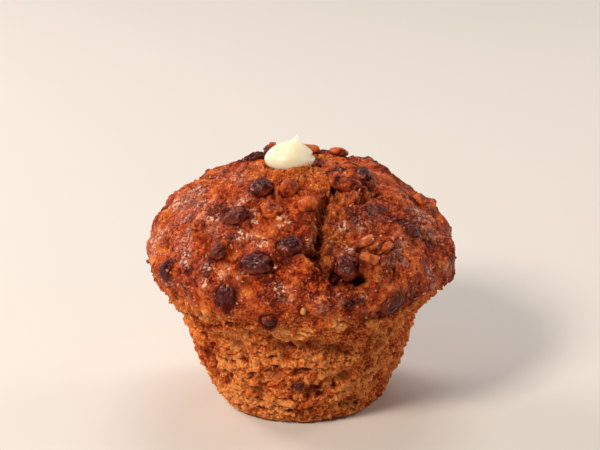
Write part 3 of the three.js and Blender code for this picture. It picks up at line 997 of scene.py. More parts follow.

# Patches of the crust: azimuth, mm down and radius in mm, then how much browner, how darkened and how wet.
# The darkening is juice stain, and painted shade along the trench of the burst.
PATCHES = [
    (-141.0, 30.0, 7.0, 0.2, 0.0, 0.2),
    (-50.0, 31.0, 6.5, 0.2, 0.1, 0.1),
    (-33.0, 36.0, 6.5, 0.16, 0.1, 0.1),
    (-96.0, 70.0, 8.0, -0.14, 0.0, 0.0),
    (-76.0, 70.5, 6.0, -0.12, 0.0, 0.0),
    (-42.0, 84.0, 9.0, -0.1, 0.0, 0.0),
    (-90.0, 57.2, 8.0, -0.16, 0.0, 0.2),
    (-103.9, 57.5, 5.0, -0.1, 0.0, 0.2),
    (-62.4, 30.2, 4.5, 0.16, 0.1, 0.3),
    (-57.4, 34.9, 4.5, 0.14, 0.1, 0.2),
    (-71.2, 39.1, 4.0, 0.1, 0.1, 0.2),
    (-118.3, 31.0, 2.8, 0.0, 0.0, 1.0),
    (-137.5, 94.0, 7.0, -0.24, 0.0, 0.0),
    (-48.6, 96.5, 6.0, -0.14, 0.0, 0.0),
    (-174.6, 35.9, 6.0, 0.14, 0.3, 0.7),
    (-161.2, 33.6, 3.4, 0.12, 0.3, 0.4),
    (-9.8, 40.7, 5.0, 0.06, 0.2, 0.8),
    (-28.4, 41.8, 4.0, 0.14, 0.4, 0.5),
    (-75.1, 36.5, 3.4, 0.14, 0.3, 0.5),
    (-117.9, 86.1, 7.5, -0.2, 0.0, 0.0),
    (-105.0, 103.5, 7.0, -0.16, 0.0, 0.0),
    (-124.4, 80.3, 5.0, -0.16, 0.0, 0.0),
    (-87.2, 71.4, 3.0, -0.3, 0.0, 0.0),
    (-157.8, 54.5, 9.0, -0.14, 0.0, 0.0),
    # Paler here: painted light along the left edge of the crown.
    (-170.9, 47.6, 9.0, -0.12, 0.0, 0.0),
    (-90.0, 45.5, 3.0, -0.14, 0.0, 0.0),
    (-43.7, 42.8, 3.4, -0.14, 0.0, 0.0),
    (-67.6, 55.0, 3.6, -0.18, 0.0, 0.0),
    (-70.5, 64.8, 3.4, 0.2, 0.4, 0.0),
    (-63.8, 67.0, 3.0, 0.25, 0.6, 0.0),
    (-57.5, 67.2, 3.0, 0.25, 0.6, 0.0),
    (-53.3, 64.8, 3.4, 0.25, 0.5, 0.0),
    (-46.0, 61.4, 4.6, 0.15, 0.3, 0.2),
    (-94.0, 17.0, 2.6, 0.2, 0.7, 0.3),
    (-155.0, 39.1, 2.0, 0.2, 0.6, 0.0),
    (-143.3, 38.7, 2.0, 0.2, 0.6, 0.0),
    (-126.5, 50.7, 2.6, 0.25, 0.35, 0.8),
    (-135.9, 53.4, 2.0, 0.2, 0.4, 0.0),
    (-88.9, 62.4, 2.8, 0.25, 0.5, 0.0),
    (-101.7, 66.8, 4.0, 0.25, 0.45, 0.0),
    (-15.9, 39.8, 5.0, 0.1, 0.35, 0.2),
    (-18.7, 48.4, 5.0, 0.08, 0.25, 0.2),
    (-118.6, 37.8, 2.6, 0.0, 0.0, 1.0),
    (-112.9, 36.3, 2.6, 0.0, 0.0, 1.0),
    (-107.9, 39.8, 3.2, 0.0, 0.0, 1.0),
    (-98.9, 32.3, 2.6, 0.0, 0.0, 1.0),
    (-156.2, 39.9, 2.2, 0.0, 0.0, 1.0),
    (-120.7, 50.2, 2.8, 0.0, 0.0, 1.0),
    (-112.7, 50.8, 2.2, 0.0, 0.0, 1.0),
    (-125.9, 55.3, 2.2, 0.0, 0.0, 1.0),
    (-140.4, 50.6, 3.0, 0.0, 0.0, 1.0),
    (-141.8, 35.4, 2.6, 0.0, 0.0, 1.0),
    (-98.3, 53.6, 2.8, 0.0, 0.0, 0.9),
    (-64.8, 33.1, 3.4, 0.0, 0.0, 0.9),
    (-67.6, 41.9, 3.4, 0.1, 0.2, 1.0),
    (-86.6, 37.6, 2.8, 0.26, 0.45, 0.1),
    # Painted shade in the trench of the burst, here and in the two patches at -76 and -74 degrees.
    (-82.4, 41.4, 2.4, 0.26, 0.45, 0.0),
    (-52.6, 34.0, 6.0, 0.14, 0.15, 0.0),
    (-150.0, 28.4, 7.5, 0.06, 0.05, 0.0),
    # Painted shade in the trench of the burst.
    (-76.0, 41.6, 2.4, 0.25, 0.45, 0.0),
    (-74.0, 46.4, 2.2, 0.2, 0.4, 0.0),
    (-33.0, 30.0, 5.0, 0.1, 0.1, 0.0),
]

# Where pale crumb shows through the crust of the crown: azimuth, mm down and radius in mm.
BARE_PATCHES = [
    (-165, 12, 4.4),
    (-129, 9.6, 4.4),
    (-95, 9.4, 3.8),
    (-56, 10, 4.6),
    (-62, 15.3, 3.8),
    (-52, 20.3, 3.4),
    (-72.5, 36.2, 3.6),
    (-68.5, 29, 3.2),
    (-59, 51, 2.6),
    (60, 12, 4.5),
    (150, 30, 4.0),
]

# The one pale seed in the front of the crown: azimuth, mm down, length, width and thickness in mm, turn in
# degrees, and mm proud of the skin. It is almost smooth.
SEED = (-88.9, 60.5, 2.6, 1.5, 1.5, 84, 0.8)
SEED_CREASE = 0.02


# Baked-in pieces


@dataclass
class BakedPiece:
    """A raisin, walnut piece or carrot stick, baked into the crust.

    It lies at an azimuth in degrees and mm down the skin, turned from level by turn degrees, with its
    middle proud mm above the skin. Its three sizes are in mm. Buried is how far the skin lies over it,
    crease how sharply a nut is broken, and glazed how far the crust's film covers it, each from 0 to 1.
    A seed too small to have a solid of its own keeps the number 0.
    """

    kind: Kind
    azimuth: float
    down: float
    long: float
    wide: float
    thick: float
    turn: float
    proud: float
    buried: float = 0.0
    crease: float = 0.32
    glazed: float = 0.0
    index: int = 0
    number: int = 0

    rings = 40
    around = 76
    planes = 12
    full_crease = 0.32
    near_enough = 1.0
    squares = {Kind.RAISIN: 1.0, Kind.WALNUT: 1.0, Kind.CARROT: 0.7}
    wrinkles = {Kind.RAISIN: 0.09, Kind.WALNUT: 0.14, Kind.CARROT: 0.05}
    looks = {Kind.RAISIN: "wrinkled", Kind.WALNUT: "toasted", Kind.CARROT: "roasted"}

    @property
    def node(self) -> str:
        """The name of its solid."""
        return f"{self.kind.value}_{self.number}"

    def place(self, form: MuffinForm) -> tuple[Array, Array, Array]:
        """Works out where it sits.

        Args:
            form: The muffin's form.

        Returns:
            Its spot on the smooth skin, its centre, and its axes: long, wide and out.
        """
        skin = form.skin(np.radians(self.azimuth), np.array(self.down))
        spot = skin.point[0]
        axes = skin.frame_at(self.turn)
        lift = self.proud + 0.6 * form.crown_lumps * form.lumps(skin.point)[0]
        return spot, spot + lift * axes[2], axes

    def build(self, form: MuffinForm) -> Piece:
        """Makes the piece: a ball of directions stretched to its three sizes and folded.

        The folds are two sine waves across the ball, shifted by the piece's index.

        Args:
            form: The muffin's form.

        Returns:
            The finished object.
        """
        way = unit_ball(self.rings, self.around)
        fold = np.sin(5.1 * way[:, 0] + 2.3 * self.index)
        fold = fold + np.sin(6.3 * way[:, 1] + 4.7 * way[:, 2] + 1.7 * self.index)
        size = np.array([self.long, self.wide, self.thick]) / 2
        local = np.sign(way) * np.abs(way) ** self.squares[self.kind] * size
        folded = min(self.crease / self.full_crease, 1.0) if self.kind is Kind.WALNUT else 1.0
        local = local * (1 + 0.5 * folded * self.wrinkles[self.kind] * fold)[:, None]
        shaping = {Kind.RAISIN: self.wrinkled, Kind.WALNUT: self.chipped, Kind.CARROT: self.grained}
        local, ridge = shaping[self.kind](local, way)
        _, centre, axes = self.place(form)
        points = centre + local @ axes + form.shift
        if self.number:
            self.compare(points)
        values = {"ridge": ridge, "film": self.film(local)}
        name = f"{self.looks[self.kind]}_{self.node}"
        return make_object(name, points, ring_faces(self.rings, self.around), values)

    def film(self, local: Array) -> Array:
        """How much of the crust's sticky film lies on each point.

        It covers the piece up to a ragged rim, higher the deeper the piece is buried, and a glazed piece
        has some all over.

        Args:
            local: The piece's shape in mm, about its centre.

        Returns:
            0 for bare skin, 1 for covered.
        """
        place = local + 40.0 * self.index
        ragged = wave_noise(place, 2.4, 14) + 0.5 * wave_noise(place, 1.1, 15)
        level = local[:, 2] / (self.thick / 2) + 0.7 * ragged
        rim = min(-self.proud / (self.thick / 2), 0.0)
        clear, covered = rim + 0.75 + self.buried, rim + 0.2 + 0.8 * self.buried
        film = max(1 - 1.3 * self.buried, 0.0) * smooth(clear, covered, level)
        return np.maximum(film, self.glazed * smooth(-0.5, 0.6, ragged))

    def compare(self, points: Array) -> None:
        """Reports the piece if its middle stands further from its solid's than is near enough.

        Args:
            points: The finished piece's vertices in mm.
        """
        low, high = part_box(self.node)
        middle = np.array((low + high) / 2) / METRES
        off = float(np.linalg.norm((points.min(0) + points.max(0)) / 2 - middle))
        if off > self.near_enough:
            LOG.warning("%s stands %.2f mm from its solid", self.node, off)

    def wrinkled(self, local: Array, way: Array) -> tuple[Array, Array]:
        """Folds a raisin's skin.

        The folds are where noise, stretched along the raisin, crosses nothing: one less its size, twice
        over, at two widths. The skin sinks between them.

        Args:
            local: The smooth shape in mm, about its centre.
            way: The direction of each point.

        Returns:
            The folded shape, and how high each point stands, 0 to 1.
        """
        share = self.long / 9
        local = local + way * (0.55 * share * wave_noise(local + 11.3 * self.index, 4.6, 4))[:, None]
        stretched = (local + 31.7 * self.index) * np.array([0.55, 1.0, 1.0])
        broad = 1 - np.abs(wave_noise(stretched, 2.6 * share, 5)) * 2.2
        narrow = 1 - np.abs(wave_noise(stretched, 1.2 * share, 6)) * 2.2
        ridge = 0.6 * broad + 0.4 * narrow
        local = local + way * (0.75 * share * (ridge - 0.7))[:, None]
        return local, np.clip(0.5 + 0.5 * ridge, 0, 1)

    def chipped(self, local: Array, way: Array) -> tuple[Array, Array]:
        """Breaks a nut piece into blunt faces with soft creases.

        The radius is the distance to the nearest of a dozen planes that stand round the middle at uneven
        distances, rounded by adding their reciprocals to a power that grows with the crease.

        Args:
            local: The smooth shape in mm, about its centre.
            way: The direction of each point.

        Returns:
            The broken shape, and how high each point stands, 0 to 1.
        """
        k = np.arange(self.planes)
        tall = 1 - (2 * k + 1) / self.planes
        flat = np.sqrt(1 - tall**2)
        turn = k * GOLDEN_ANGLE + self.index
        planes = np.stack([flat * np.cos(turn), flat * np.sin(turn), tall], axis=-1)
        reach = 0.94 + 0.13 * np.sin(3.7 * k + 1.9 * self.index)
        steep = np.maximum(way @ planes.T, 0) / reach
        sharp = 3 + 22 * self.crease
        radius = ((steep**sharp).sum(-1) / (steep[:1] ** sharp).sum()) ** (-1 / sharp)
        crease = wave_noise(local + 17.3 * self.index, 2.4, 8)
        groove = bell(crease, 0.16)
        fine = wave_noise(local + 5.1 * self.index, 1.1, 9)
        radius = 1 + (np.clip(radius, 0.8, 1.12) - 1) * min(0.15 + 3 * self.crease, 1.0)
        toast = 0.5 * smooth(0, 0.7, wave_noise(local + 23.7 * self.index, 4.2, 10))
        local = local * radius[:, None] + way * (0.1 + 0.7 * self.crease) * (fine - 1.4 * groove)[:, None]
        ridge = 0.92 - 0.9 * self.crease + 0.22 * crease - 1.2 * self.crease * groove - toast
        return local, np.clip(ridge, 0, 1)

    def grained(self, local: Array, way: Array) -> tuple[Array, Array]:
        """Bends a stick a little and draws its grain along it.

        Its ends drop and move aside by the square of the place along, and the surface moves with noise that
        is about six times longer along the stick than across it.

        Args:
            local: The smooth shape in mm, about its centre.
            way: The direction of each point.

        Returns:
            The stick, and how high each point stands, 0 to 1.
        """
        along = local[:, :1] / (self.long / 2)
        bent = local + np.array([0, 0.35, -0.3]) * along**2
        grain = wave_noise(local * np.array([0.17, 1, 1]) + 9.1 * self.index, 0.7, 12)
        chip = wave_noise(local + 3.3 * self.index, 2.0, 13)
        end = smooth(0.45, 1.0, np.abs(along[:, 0]) + 0.2 * chip)
        # The underside gets a lower value, which the finish darkens as painted shade.
        low = smooth(0.2, -0.7, local[:, 2] / (self.thick / 2))
        rise = 0.12 * grain + 0.22 * chip
        return bent + way * rise[:, None], np.clip(0.8 + 0.3 * grain - 0.5 * end - 0.5 * low, 0, 1)


def front_pieces() -> list[BakedPiece]:
    """The pieces on the side that faces forward, and those that stand up behind the icing."""
    raisin, walnut, carrot = Kind.RAISIN, Kind.WALNUT, Kind.CARROT
    return [
        BakedPiece(raisin, -123, 20.4, 6.8, 6.4, 6.0, 10, 1.2),
        BakedPiece(walnut, -100.2, 18.9, 6.4, 5.6, 6.4, 70, 1.4, crease=0.06),
        BakedPiece(walnut, -84.8, 26.6, 6.0, 5.6, 5.8, 20, 1.4, crease=0.06),
        BakedPiece(raisin, -125.6, 32.4, 8.6, 5.8, 5.4, 45, 0.7, glazed=0.75),
        BakedPiece(walnut, -107.8, 28, 7.2, 6.0, 5.0, 0, 0.5, crease=0.15),
        BakedPiece(walnut, -40, 17, 10.6, 7.4, 6.2, -62, 1.3),
        BakedPiece(raisin, -94.4, 40.6, 8.2, 6.8, 6.0, 0, 0.6),
        BakedPiece(raisin, -107.5, 47, 9.2, 6.2, 5.6, 12, 1.0),
        BakedPiece(raisin, -125.2, 45.2, 5.0, 4.6, 4.2, 60, 0.5, glazed=0.5),
        BakedPiece(raisin, -69.8, 46.9, 8.0, 7.4, 7.0, 0, -1.9),
        BakedPiece(raisin, -116.9, 57.4, 7.0, 6.4, 4.6, 80, -0.5, buried=0.8),
        BakedPiece(raisin, -101.7, 64.4, 4.6, 4.0, 3.8, 0, -0.6),
        BakedPiece(raisin, -55.1, 61, 7.6, 5.6, 4.6, 40, -0.2, buried=0.5),
        BakedPiece(raisin, -90.7, 94.4, 3.6, 3.2, 3.2, 0, -0.5),
        BakedPiece(raisin, -148, 56.4, 6.2, 4.8, 4.2, 80, -0.6, buried=1.0),
        BakedPiece(raisin, -31.1, 42.5, 6.6, 4.6, 4.4, -20, 0.0, buried=0.5),
        BakedPiece(carrot, -60.9, 46.6, 6.6, 3.2, 3.0, -28, 0.1),
        BakedPiece(carrot, -58.3, 40.8, 5.8, 3.2, 2.8, 14, 0.1),
        BakedPiece(walnut, -51.2, 44.4, 7.6, 3.4, 3.0, 22, -0.1, crease=0.16),
        BakedPiece(raisin, -6, 19.5, 6.0, 4.6, 4.2, 20, 0.8),
        BakedPiece(walnut, -142.6, 40.1, 5.6, 4.4, 4.2, 0, 0.1),
        BakedPiece(walnut, 6, 40.4, 6.0, 4.4, 3.4, 30, -0.3, crease=0.2),
        BakedPiece(raisin, 149, 16.6, 6.2, 3.0, 2.8, 124, 1.3),
        BakedPiece(walnut, 126, 15, 4.6, 4.2, 4.0, 0, 1.5),
        BakedPiece(carrot, 80, 14.6, 7.0, 3.0, 2.6, 12, 1.6),
        BakedPiece(walnut, 52, 20, 6.2, 3.6, 2.8, 30, 1.3, crease=0.1),
    ]


def far_pieces(count: int = 10, largest: float = 9.6, smallest: float = 5.0) -> list[BakedPiece]:
    """Steps pieces round the far side by the golden share, the biggest first and highest up.

    They spread over 84 degrees of azimuth from 58, and between 35 and 62 mm down.

    Args:
        count: How many.
        largest: Length of the first in mm.
        smallest: Length of the last in mm.

    Returns:
        The pieces.
    """
    order = [Kind.WALNUT, Kind.RAISIN, Kind.RAISIN, Kind.CARROT]
    made = []
    for k in range(count):
        kind = order[k % len(order)]
        turned = (k * GOLDEN_SHARE) % 1
        down = 35 + 27 * math.sqrt((k + 0.5) / count)
        long = blend(largest, smallest, k / (count - 1))
        wide = (0.4 if kind is Kind.CARROT else 0.78) * long
        thick = 0.6 * wide + 1.2
        made.append(BakedPiece(kind, 58 + 84 * turned, down, long, wide, thick, turn=180 * turned, proud=0.6))
    return made


def all_pieces() -> list[BakedPiece]:
    """Every baked-in piece, numbered kind by kind as its solids are."""
    made = front_pieces() + far_pieces()
    counts = dict.fromkeys(Kind, 0)
    for index, piece in enumerate(made):
        counts[piece.kind] += 1
        piece.index, piece.number = index, counts[piece.kind]
    return made


# Baked body


@dataclass
class BakedSkin:
    """The muffin's skin with all its relief, and what its finish needs to know at every point. Sizes in mm.

    The crown's sticky crust ends between two lengths down the skin. Folds, walls and bubbles are given by
    size and height; a bubble also by how flat it is, its reach, and the share of cells that have none.
    """

    form: MuffinForm
    pieces: list[BakedPiece]
    dab_spot: tuple[float, float]
    dab_radius: float
    crown_end: tuple[float, float] = (70, 58)
    crown_sunk: float = 0.7
    stump_sunk: float = 0.35
    foot_fade: float = 5.0
    crust_folds: tuple = ((7.0, 1.5), (3.4, 1.2), (1.9, 0.9), (1.05, 0.6))
    blister: tuple[float, float] = (3.6, 0.4)
    pore: tuple[float, float] = (1.5, 0.8)
    crumb_walls: tuple = ((4.0, 1.0), (2.0, 1.0), (1.1, 0.7))
    bubbles: tuple = (
        (4.6, 0.95, 1.7, (0.0, 0.62), 0.5),
        (2.1, 0.5, 1.3, (0.05, 0.6), 0.5),
        (1.1, 0.3, 1.0, (0.1, 0.55), 0.4),
    )
    seat_swell: float = 0.9
    seat_reach: float = 1.4
    seat_sunk: float = 1.4
    groove: tuple[float, float] = (0.4, 0.35)
    buried_rise: float = 1.5
    halo_reach: float = 1.2
    dab_sunk: float = 1.0
    dab_ring: tuple[float, float] = (1.14, 0.16)

    def surface(self, azimuth: Array, down: Array) -> tuple[Array, dict[str, Array]]:
        """Moves the smooth skin out or in by the sum of its reliefs.

        Broad lumps, folds, blisters and grains, less the cracks, holes and pores, plus the swell round
        each baked-in piece. The foot stays flat: the relief fades out over its lowest millimetres. Torn
        crumb also strays sideways.

        Args:
            azimuth: Angles in radians.
            down: Lengths along the skin from the top, in mm.

        Returns:
            The points in mm, and the named numbers for the finish.
        """
        skin = self.form.skin(azimuth, down)
        point = skin.point
        # How much of the sticky crown there is here, against the dry stump.
        sticky = smooth(*self.crown_end, skin.down + 2.5 * wave_noise(point, 7.0, 61))
        wobble = 0.42 * wave_noise(point, 4.2, 41) + 0.26 * wave_noise(point, 1.9, 42)
        depth, curl, gash = self.form.crack_field(point, wobble)
        bare = gash
        for *spot, radius in BARE_PATCHES:
            ragged = np.linalg.norm(point - self.form.spot(*spot), axis=-1) / radius + 1.6 * wobble
            bare = np.maximum(bare, 0.85 * (1 - smooth(0.6, 1.25, ragged)))
        lumps = self.form.lumps(point) * blend(self.form.stump_lumps, self.form.crown_lumps, skin.crown)
        crust, crust_pit_shade, knobs = self.crust_relief(point)
        crumb, crumb_pit_shade = self.crumb_relief(point)
        open_crumb = np.maximum(1 - sticky, bare)
        fine = blend(crust, crumb, open_crumb)
        pit = blend(crust_pit_shade, crumb_pit_shade, open_crumb)
        holes, hole_pit_shade = self.hole_relief(point)
        seats, halo, juice = self.seat_relief(point)
        browner, darkened, wet = self.patch_field(point, wobble)
        sunk = blend(self.stump_sunk, self.crown_sunk, sticky)
        relief = lumps + curl + fine - sunk - depth - holes + seats
        above_foot = smooth(0.3, self.foot_fade, skin.height)
        relief = relief * np.where(relief > 0, above_foot, smooth(-0.6, 1.6, skin.height))
        slack = np.maximum(0.9 * gash, 0.35 * open_crumb) * above_foot
        stray = np.stack([wave_noise(point, 2.6, seed) for seed in (43, 47, 53)], axis=-1)
        stray = stray + 0.5 * np.stack([wave_noise(point, 1.2, seed) for seed in (46, 50, 56)], axis=-1)
        points = point + skin.normal * relief[:, None] + stray * slack[:, None]
        gloss = 0.42 + 0.8 * wet + 0.6 * wave_noise(point, 7.0, 71)
        values = {
            "bake": self.bake(skin, sticky, fine, curl, knobs) + browner,
            "crumb": bare,
            # Painted shade: darker in pores, holes and creases, and darkest down in the trench of a burst.
            "pit": np.maximum(pit, hole_pit_shade) + 0.9 * smooth(1.2, 5.5, depth),
            # Juice stains round and over raisins, and painted shade round the other pieces and in the trench
            # of the burst.
            "stain": 0.75 * halo + np.maximum(juice, darkened),
            "glaze": sticky * (1 - 0.8 * bare) * gloss,
        }
        return points, {key: np.clip(numbers, 0, 1) for key, numbers in values.items()}

    @property
    def spots(self) -> Array:
        """Where the patches lie on the smooth skin, in mm."""
        azimuth, down = np.array(PATCHES)[:, :2].T
        return self.form.skin(np.radians(azimuth), down).point

    def patch_field(self, point: Array, wobble: Array) -> tuple[Array, Array, Array]:
        """How the patches of the crust change it: each fades out over its ragged edge.

        Args:
            point: Places on the smooth skin.
            wobble: How far the edge strays there, as a share of the radius.

        Returns:
            How much browner, how darkened by juice stain and painted shade, and how wet each point is.
        """
        browner, darkened, wet = (np.zeros(len(point)) for _ in range(3))
        for spot, (_, _, radius, brown, stain, gloss) in zip(self.spots, PATCHES):
            close = np.abs(point - spot).max(-1) < 2 * radius
            reach = np.linalg.norm(point[close] - spot, axis=-1) / radius + 0.9 * wobble[close]
            share = 1 - smooth(0.35, 1.2, reach)
            browner[close] += brown * share
            darkened[close] = np.maximum(darkened[close], stain * share)
            wet[close] = np.maximum(wet[close], gloss * share)
        return browner, darkened, wet

    def crust_relief(self, point: Array) -> tuple[Array, Array, Array]:
        """Relief of the browned crown: blisters, grains and a few open pores.

        Args:
            point: Places on the smooth skin.

        Returns:
            Its height in mm, how deep in a pore or crease each point is, which the finish darkens as painted
            shade, and how much of a grain it is, 0 to 1.
        """
        rough = blend(0.25, 0.95, smooth(-0.2, 0.5, wave_noise(point, 11.0, 20)))
        folds = creased_noise(point, self.crust_folds, 210)
        near, tag = cell_noise(point, self.blister[0], 22)
        blister = np.sqrt(np.clip(1 - (near / 0.5) ** 2, 0, 1)) * (tag > 0.6)
        close, kind = cell_noise(point, self.pore[0], 23)
        grain = np.clip(1 - (close / 0.72) ** 2, 0, 1)
        pore = (1 - smooth(0.1, 0.45, close)) * (kind > 0.88)
        height = rough * (folds + 0.35 * grain) + self.blister[1] * blister - self.pore[1] * pore
        crease = smooth(0.05, -0.7, height)
        return height, np.clip(0.85 * pore + 0.75 * crease, 0, 1), grain

    def crumb_relief(self, point: Array) -> tuple[Array, Array]:
        """Relief of open crumb: flattened bubbles of three sizes, with torn walls between them.

        Args:
            point: Places on the smooth skin.

        Returns:
            Its height in mm, and how deep in a bubble each point is, 0 to 1, which the finish darkens as
            painted shade.
        """
        bent = point + 0.8 * np.stack([wave_noise(point, 3.0, seed) for seed in (31, 32, 33)], axis=-1)
        height = creased_noise(point, self.crumb_walls, 370) + 0.2
        for k, (size, deep, flat, reach, none) in enumerate(self.bubbles):
            near, tag = cell_noise(bent, size, 34 + k, flat)
            height = height - deep * (1 - smooth(*reach, near)) * (tag > none)
        return height, smooth(0.05, -0.9, height)

    def hole_relief(self, point: Array) -> tuple[Array, Array]:
        """The hollows, which are bell-shaped and add up, and the holes and pits, which are ragged dents.

        Args:
            point: Places on the smooth skin.

        Returns:
            Their depth in mm, and how deep in a hole each point is, 0 to 1, which the finish darkens as
            painted shade.
        """
        depth, pit = np.zeros(len(point)), np.zeros(len(point))
        ragged = 1 + 0.35 * wave_noise(point, 2.6, 51)
        for *hollow, deep in DENTS:
            depth = depth + deep * np.exp(-self.reach_squared(point, *hollow))
        for *hole, deep in HOLES + PITS:
            inside = np.exp(-((ragged * self.reach_squared(point, *hole)) ** 1.5))
            depth = np.maximum(depth, deep * inside)
            pit = np.maximum(pit, 0.7 * inside**1.5)
        return depth, pit

    def reach_squared(self, point: Array, azimuth: float, down: float, wide: float, high: float) -> Array:
        """Measures how far each point is from the middle of a hollow.

        Args:
            point: Places on the smooth skin.
            azimuth: Where the hollow lies, in degrees.
            down: Where it lies, in mm down the skin.
            wide: Half its width in mm.
            high: Half its height in mm.

        Returns:
            The square of the distance level over wide plus that of the distance upright over high.
        """
        offset = point - self.form.spot(azimuth, down)
        return (np.hypot(offset[:, 0], offset[:, 1]) / wide) ** 2 + (offset[:, 2] / high) ** 2

    def seat_relief(self, point: Array) -> tuple[Array, Array, Array]:
        """The seat of every baked-in piece and of the icing.

        Args:
            point: Places on the smooth skin.

        Returns:
            The height in mm, the dark ring round each piece, a juice stain round raisins and painted shade
            round the others, and the juice soaked over buried ones.
        """
        ragged = wave_noise(point, 2.2, 81)
        height, halo, juice = (np.zeros(len(point)) for _ in range(3))
        for piece in self.pieces:
            spot, _, axes = piece.place(self.form)
            close = np.linalg.norm(point - spot, axis=-1) < piece.long / 2 + 8
            rise, ring, soak = self.piece_seat(piece, (point[close] - spot) @ axes.T, ragged[close])
            height[close] += rise
            halo[close] = np.maximum(halo[close], ring)
            juice[close] = np.maximum(juice[close], soak)
        return height + self.dab_seat(point, ragged), halo, juice

    def piece_seat(self, piece: BakedPiece, local: Array, ragged: Array) -> tuple[Array, Array, Array]:
        """The seat of one piece.

        Inside its outline the crust sinks under it; outside there is a thin groove, and then a swell that
        dies away over about 3 mm. Over a buried piece the skin rises instead.

        Args:
            piece: The piece.
            local: Points near it, along its axes, in mm.
            ragged: How far its edge strays at each point.

        Returns:
            The height in mm, the dark ring, a juice stain round a raisin and painted shade round other
            pieces, and the juice soaked through.
        """
        half = np.array([piece.long, piece.wide]) / 2 * 0.94
        share = np.linalg.norm(local[:, :2] / half, axis=-1)
        edge = (share - 1) * half.min()
        outside = np.clip(edge, 0, None)
        tight = smooth(-0.5, 0.4, np.array(piece.proud))
        swell = (self.seat_swell + 0.6 * tight + 0.5 * ragged) * bell(outside - 0.3, self.seat_reach)
        deep, wide = self.groove
        sink = self.seat_sunk * smooth(0, -1.2, edge)
        proud = swell - deep * tight * bell(outside, wide) - sink
        over = np.exp(-((share / 1.15) ** 4))
        rise = blend(proud, self.buried_rise * over * (1 + 0.4 * ragged), piece.buried)
        if piece.kind is Kind.RAISIN:
            halo = (1 + 0.5 * ragged) * bell(outside, self.halo_reach)
        else:
            # Painted shade: a narrow dark ring where the piece meets the crust.
            halo = 0.7 * bell(outside, self.halo_reach / 2)
        soak = 0.8 * piece.buried * over * (0.7 + 0.8 * ragged)
        return rise * (0.5 + 0.5 * min(piece.long / 8, 1.2)), halo, soak

    def dab_seat(self, point: Array, ragged: Array) -> Array:
        """The hollow under the icing, and the ring of crumb that has risen round it, highest in front.

        Args:
            point: Places on the smooth skin.
            ragged: How far the ring strays at each point.

        Returns:
            The height in mm.
        """
        offset = point - self.form.top_spot(*self.dab_spot)
        distance = np.linalg.norm(offset, axis=-1)
        away = distance / self.dab_radius
        forward = -(0.35 * offset[:, 0] + 0.94 * offset[:, 1]) / np.maximum(distance, 1e-6)
        ring = 0.5 + 2.3 * smooth(-0.1, 0.8, forward) + 0.7 * ragged
        place, width = self.dab_ring
        return ring * bell(away - place, width) - self.dab_sunk * (1 - smooth(0.75, 1.0, away))

    def bake(self, skin: Skin, sticky: Array, fine: Array, curl: Array, knobs: Array) -> Array:
        """How brown each point is: the crown above the stump and curled edges above the rest; low spots are
        browner and high spots and grains paler, as painted shade and painted light.

        A ragged band below the lip is browner still, and the foot of the wall is paler.

        Args:
            skin: The smooth skin.
            sticky: Share of crown crust.
            fine: Height of the fine relief in mm.
            curl: Height of the curled edges in mm.
            knobs: Share of grain.

        Returns:
            0 for pale, 1 for burnt.
        """
        point = skin.point
        low_band = bell(skin.down - 59, 5) * smooth(-0.2, 0.5, wave_noise(point, 16.0, 91))
        uneven = 0.16 * wave_noise(point, 13.0, 92) + 0.14 * wave_noise(point, 5.0, 93)
        brown = blend(0.26, 0.56, sticky) + uneven + 0.1 * curl + 0.16 * low_band
        # Browner in low spots and paler on high spots and grains: painted shade and painted light.
        brown = brown - 0.08 * fine - 0.08 * (knobs - 0.5)
        return np.clip(brown - 0.12 * smooth(12, 3, skin.height), 0, 1)


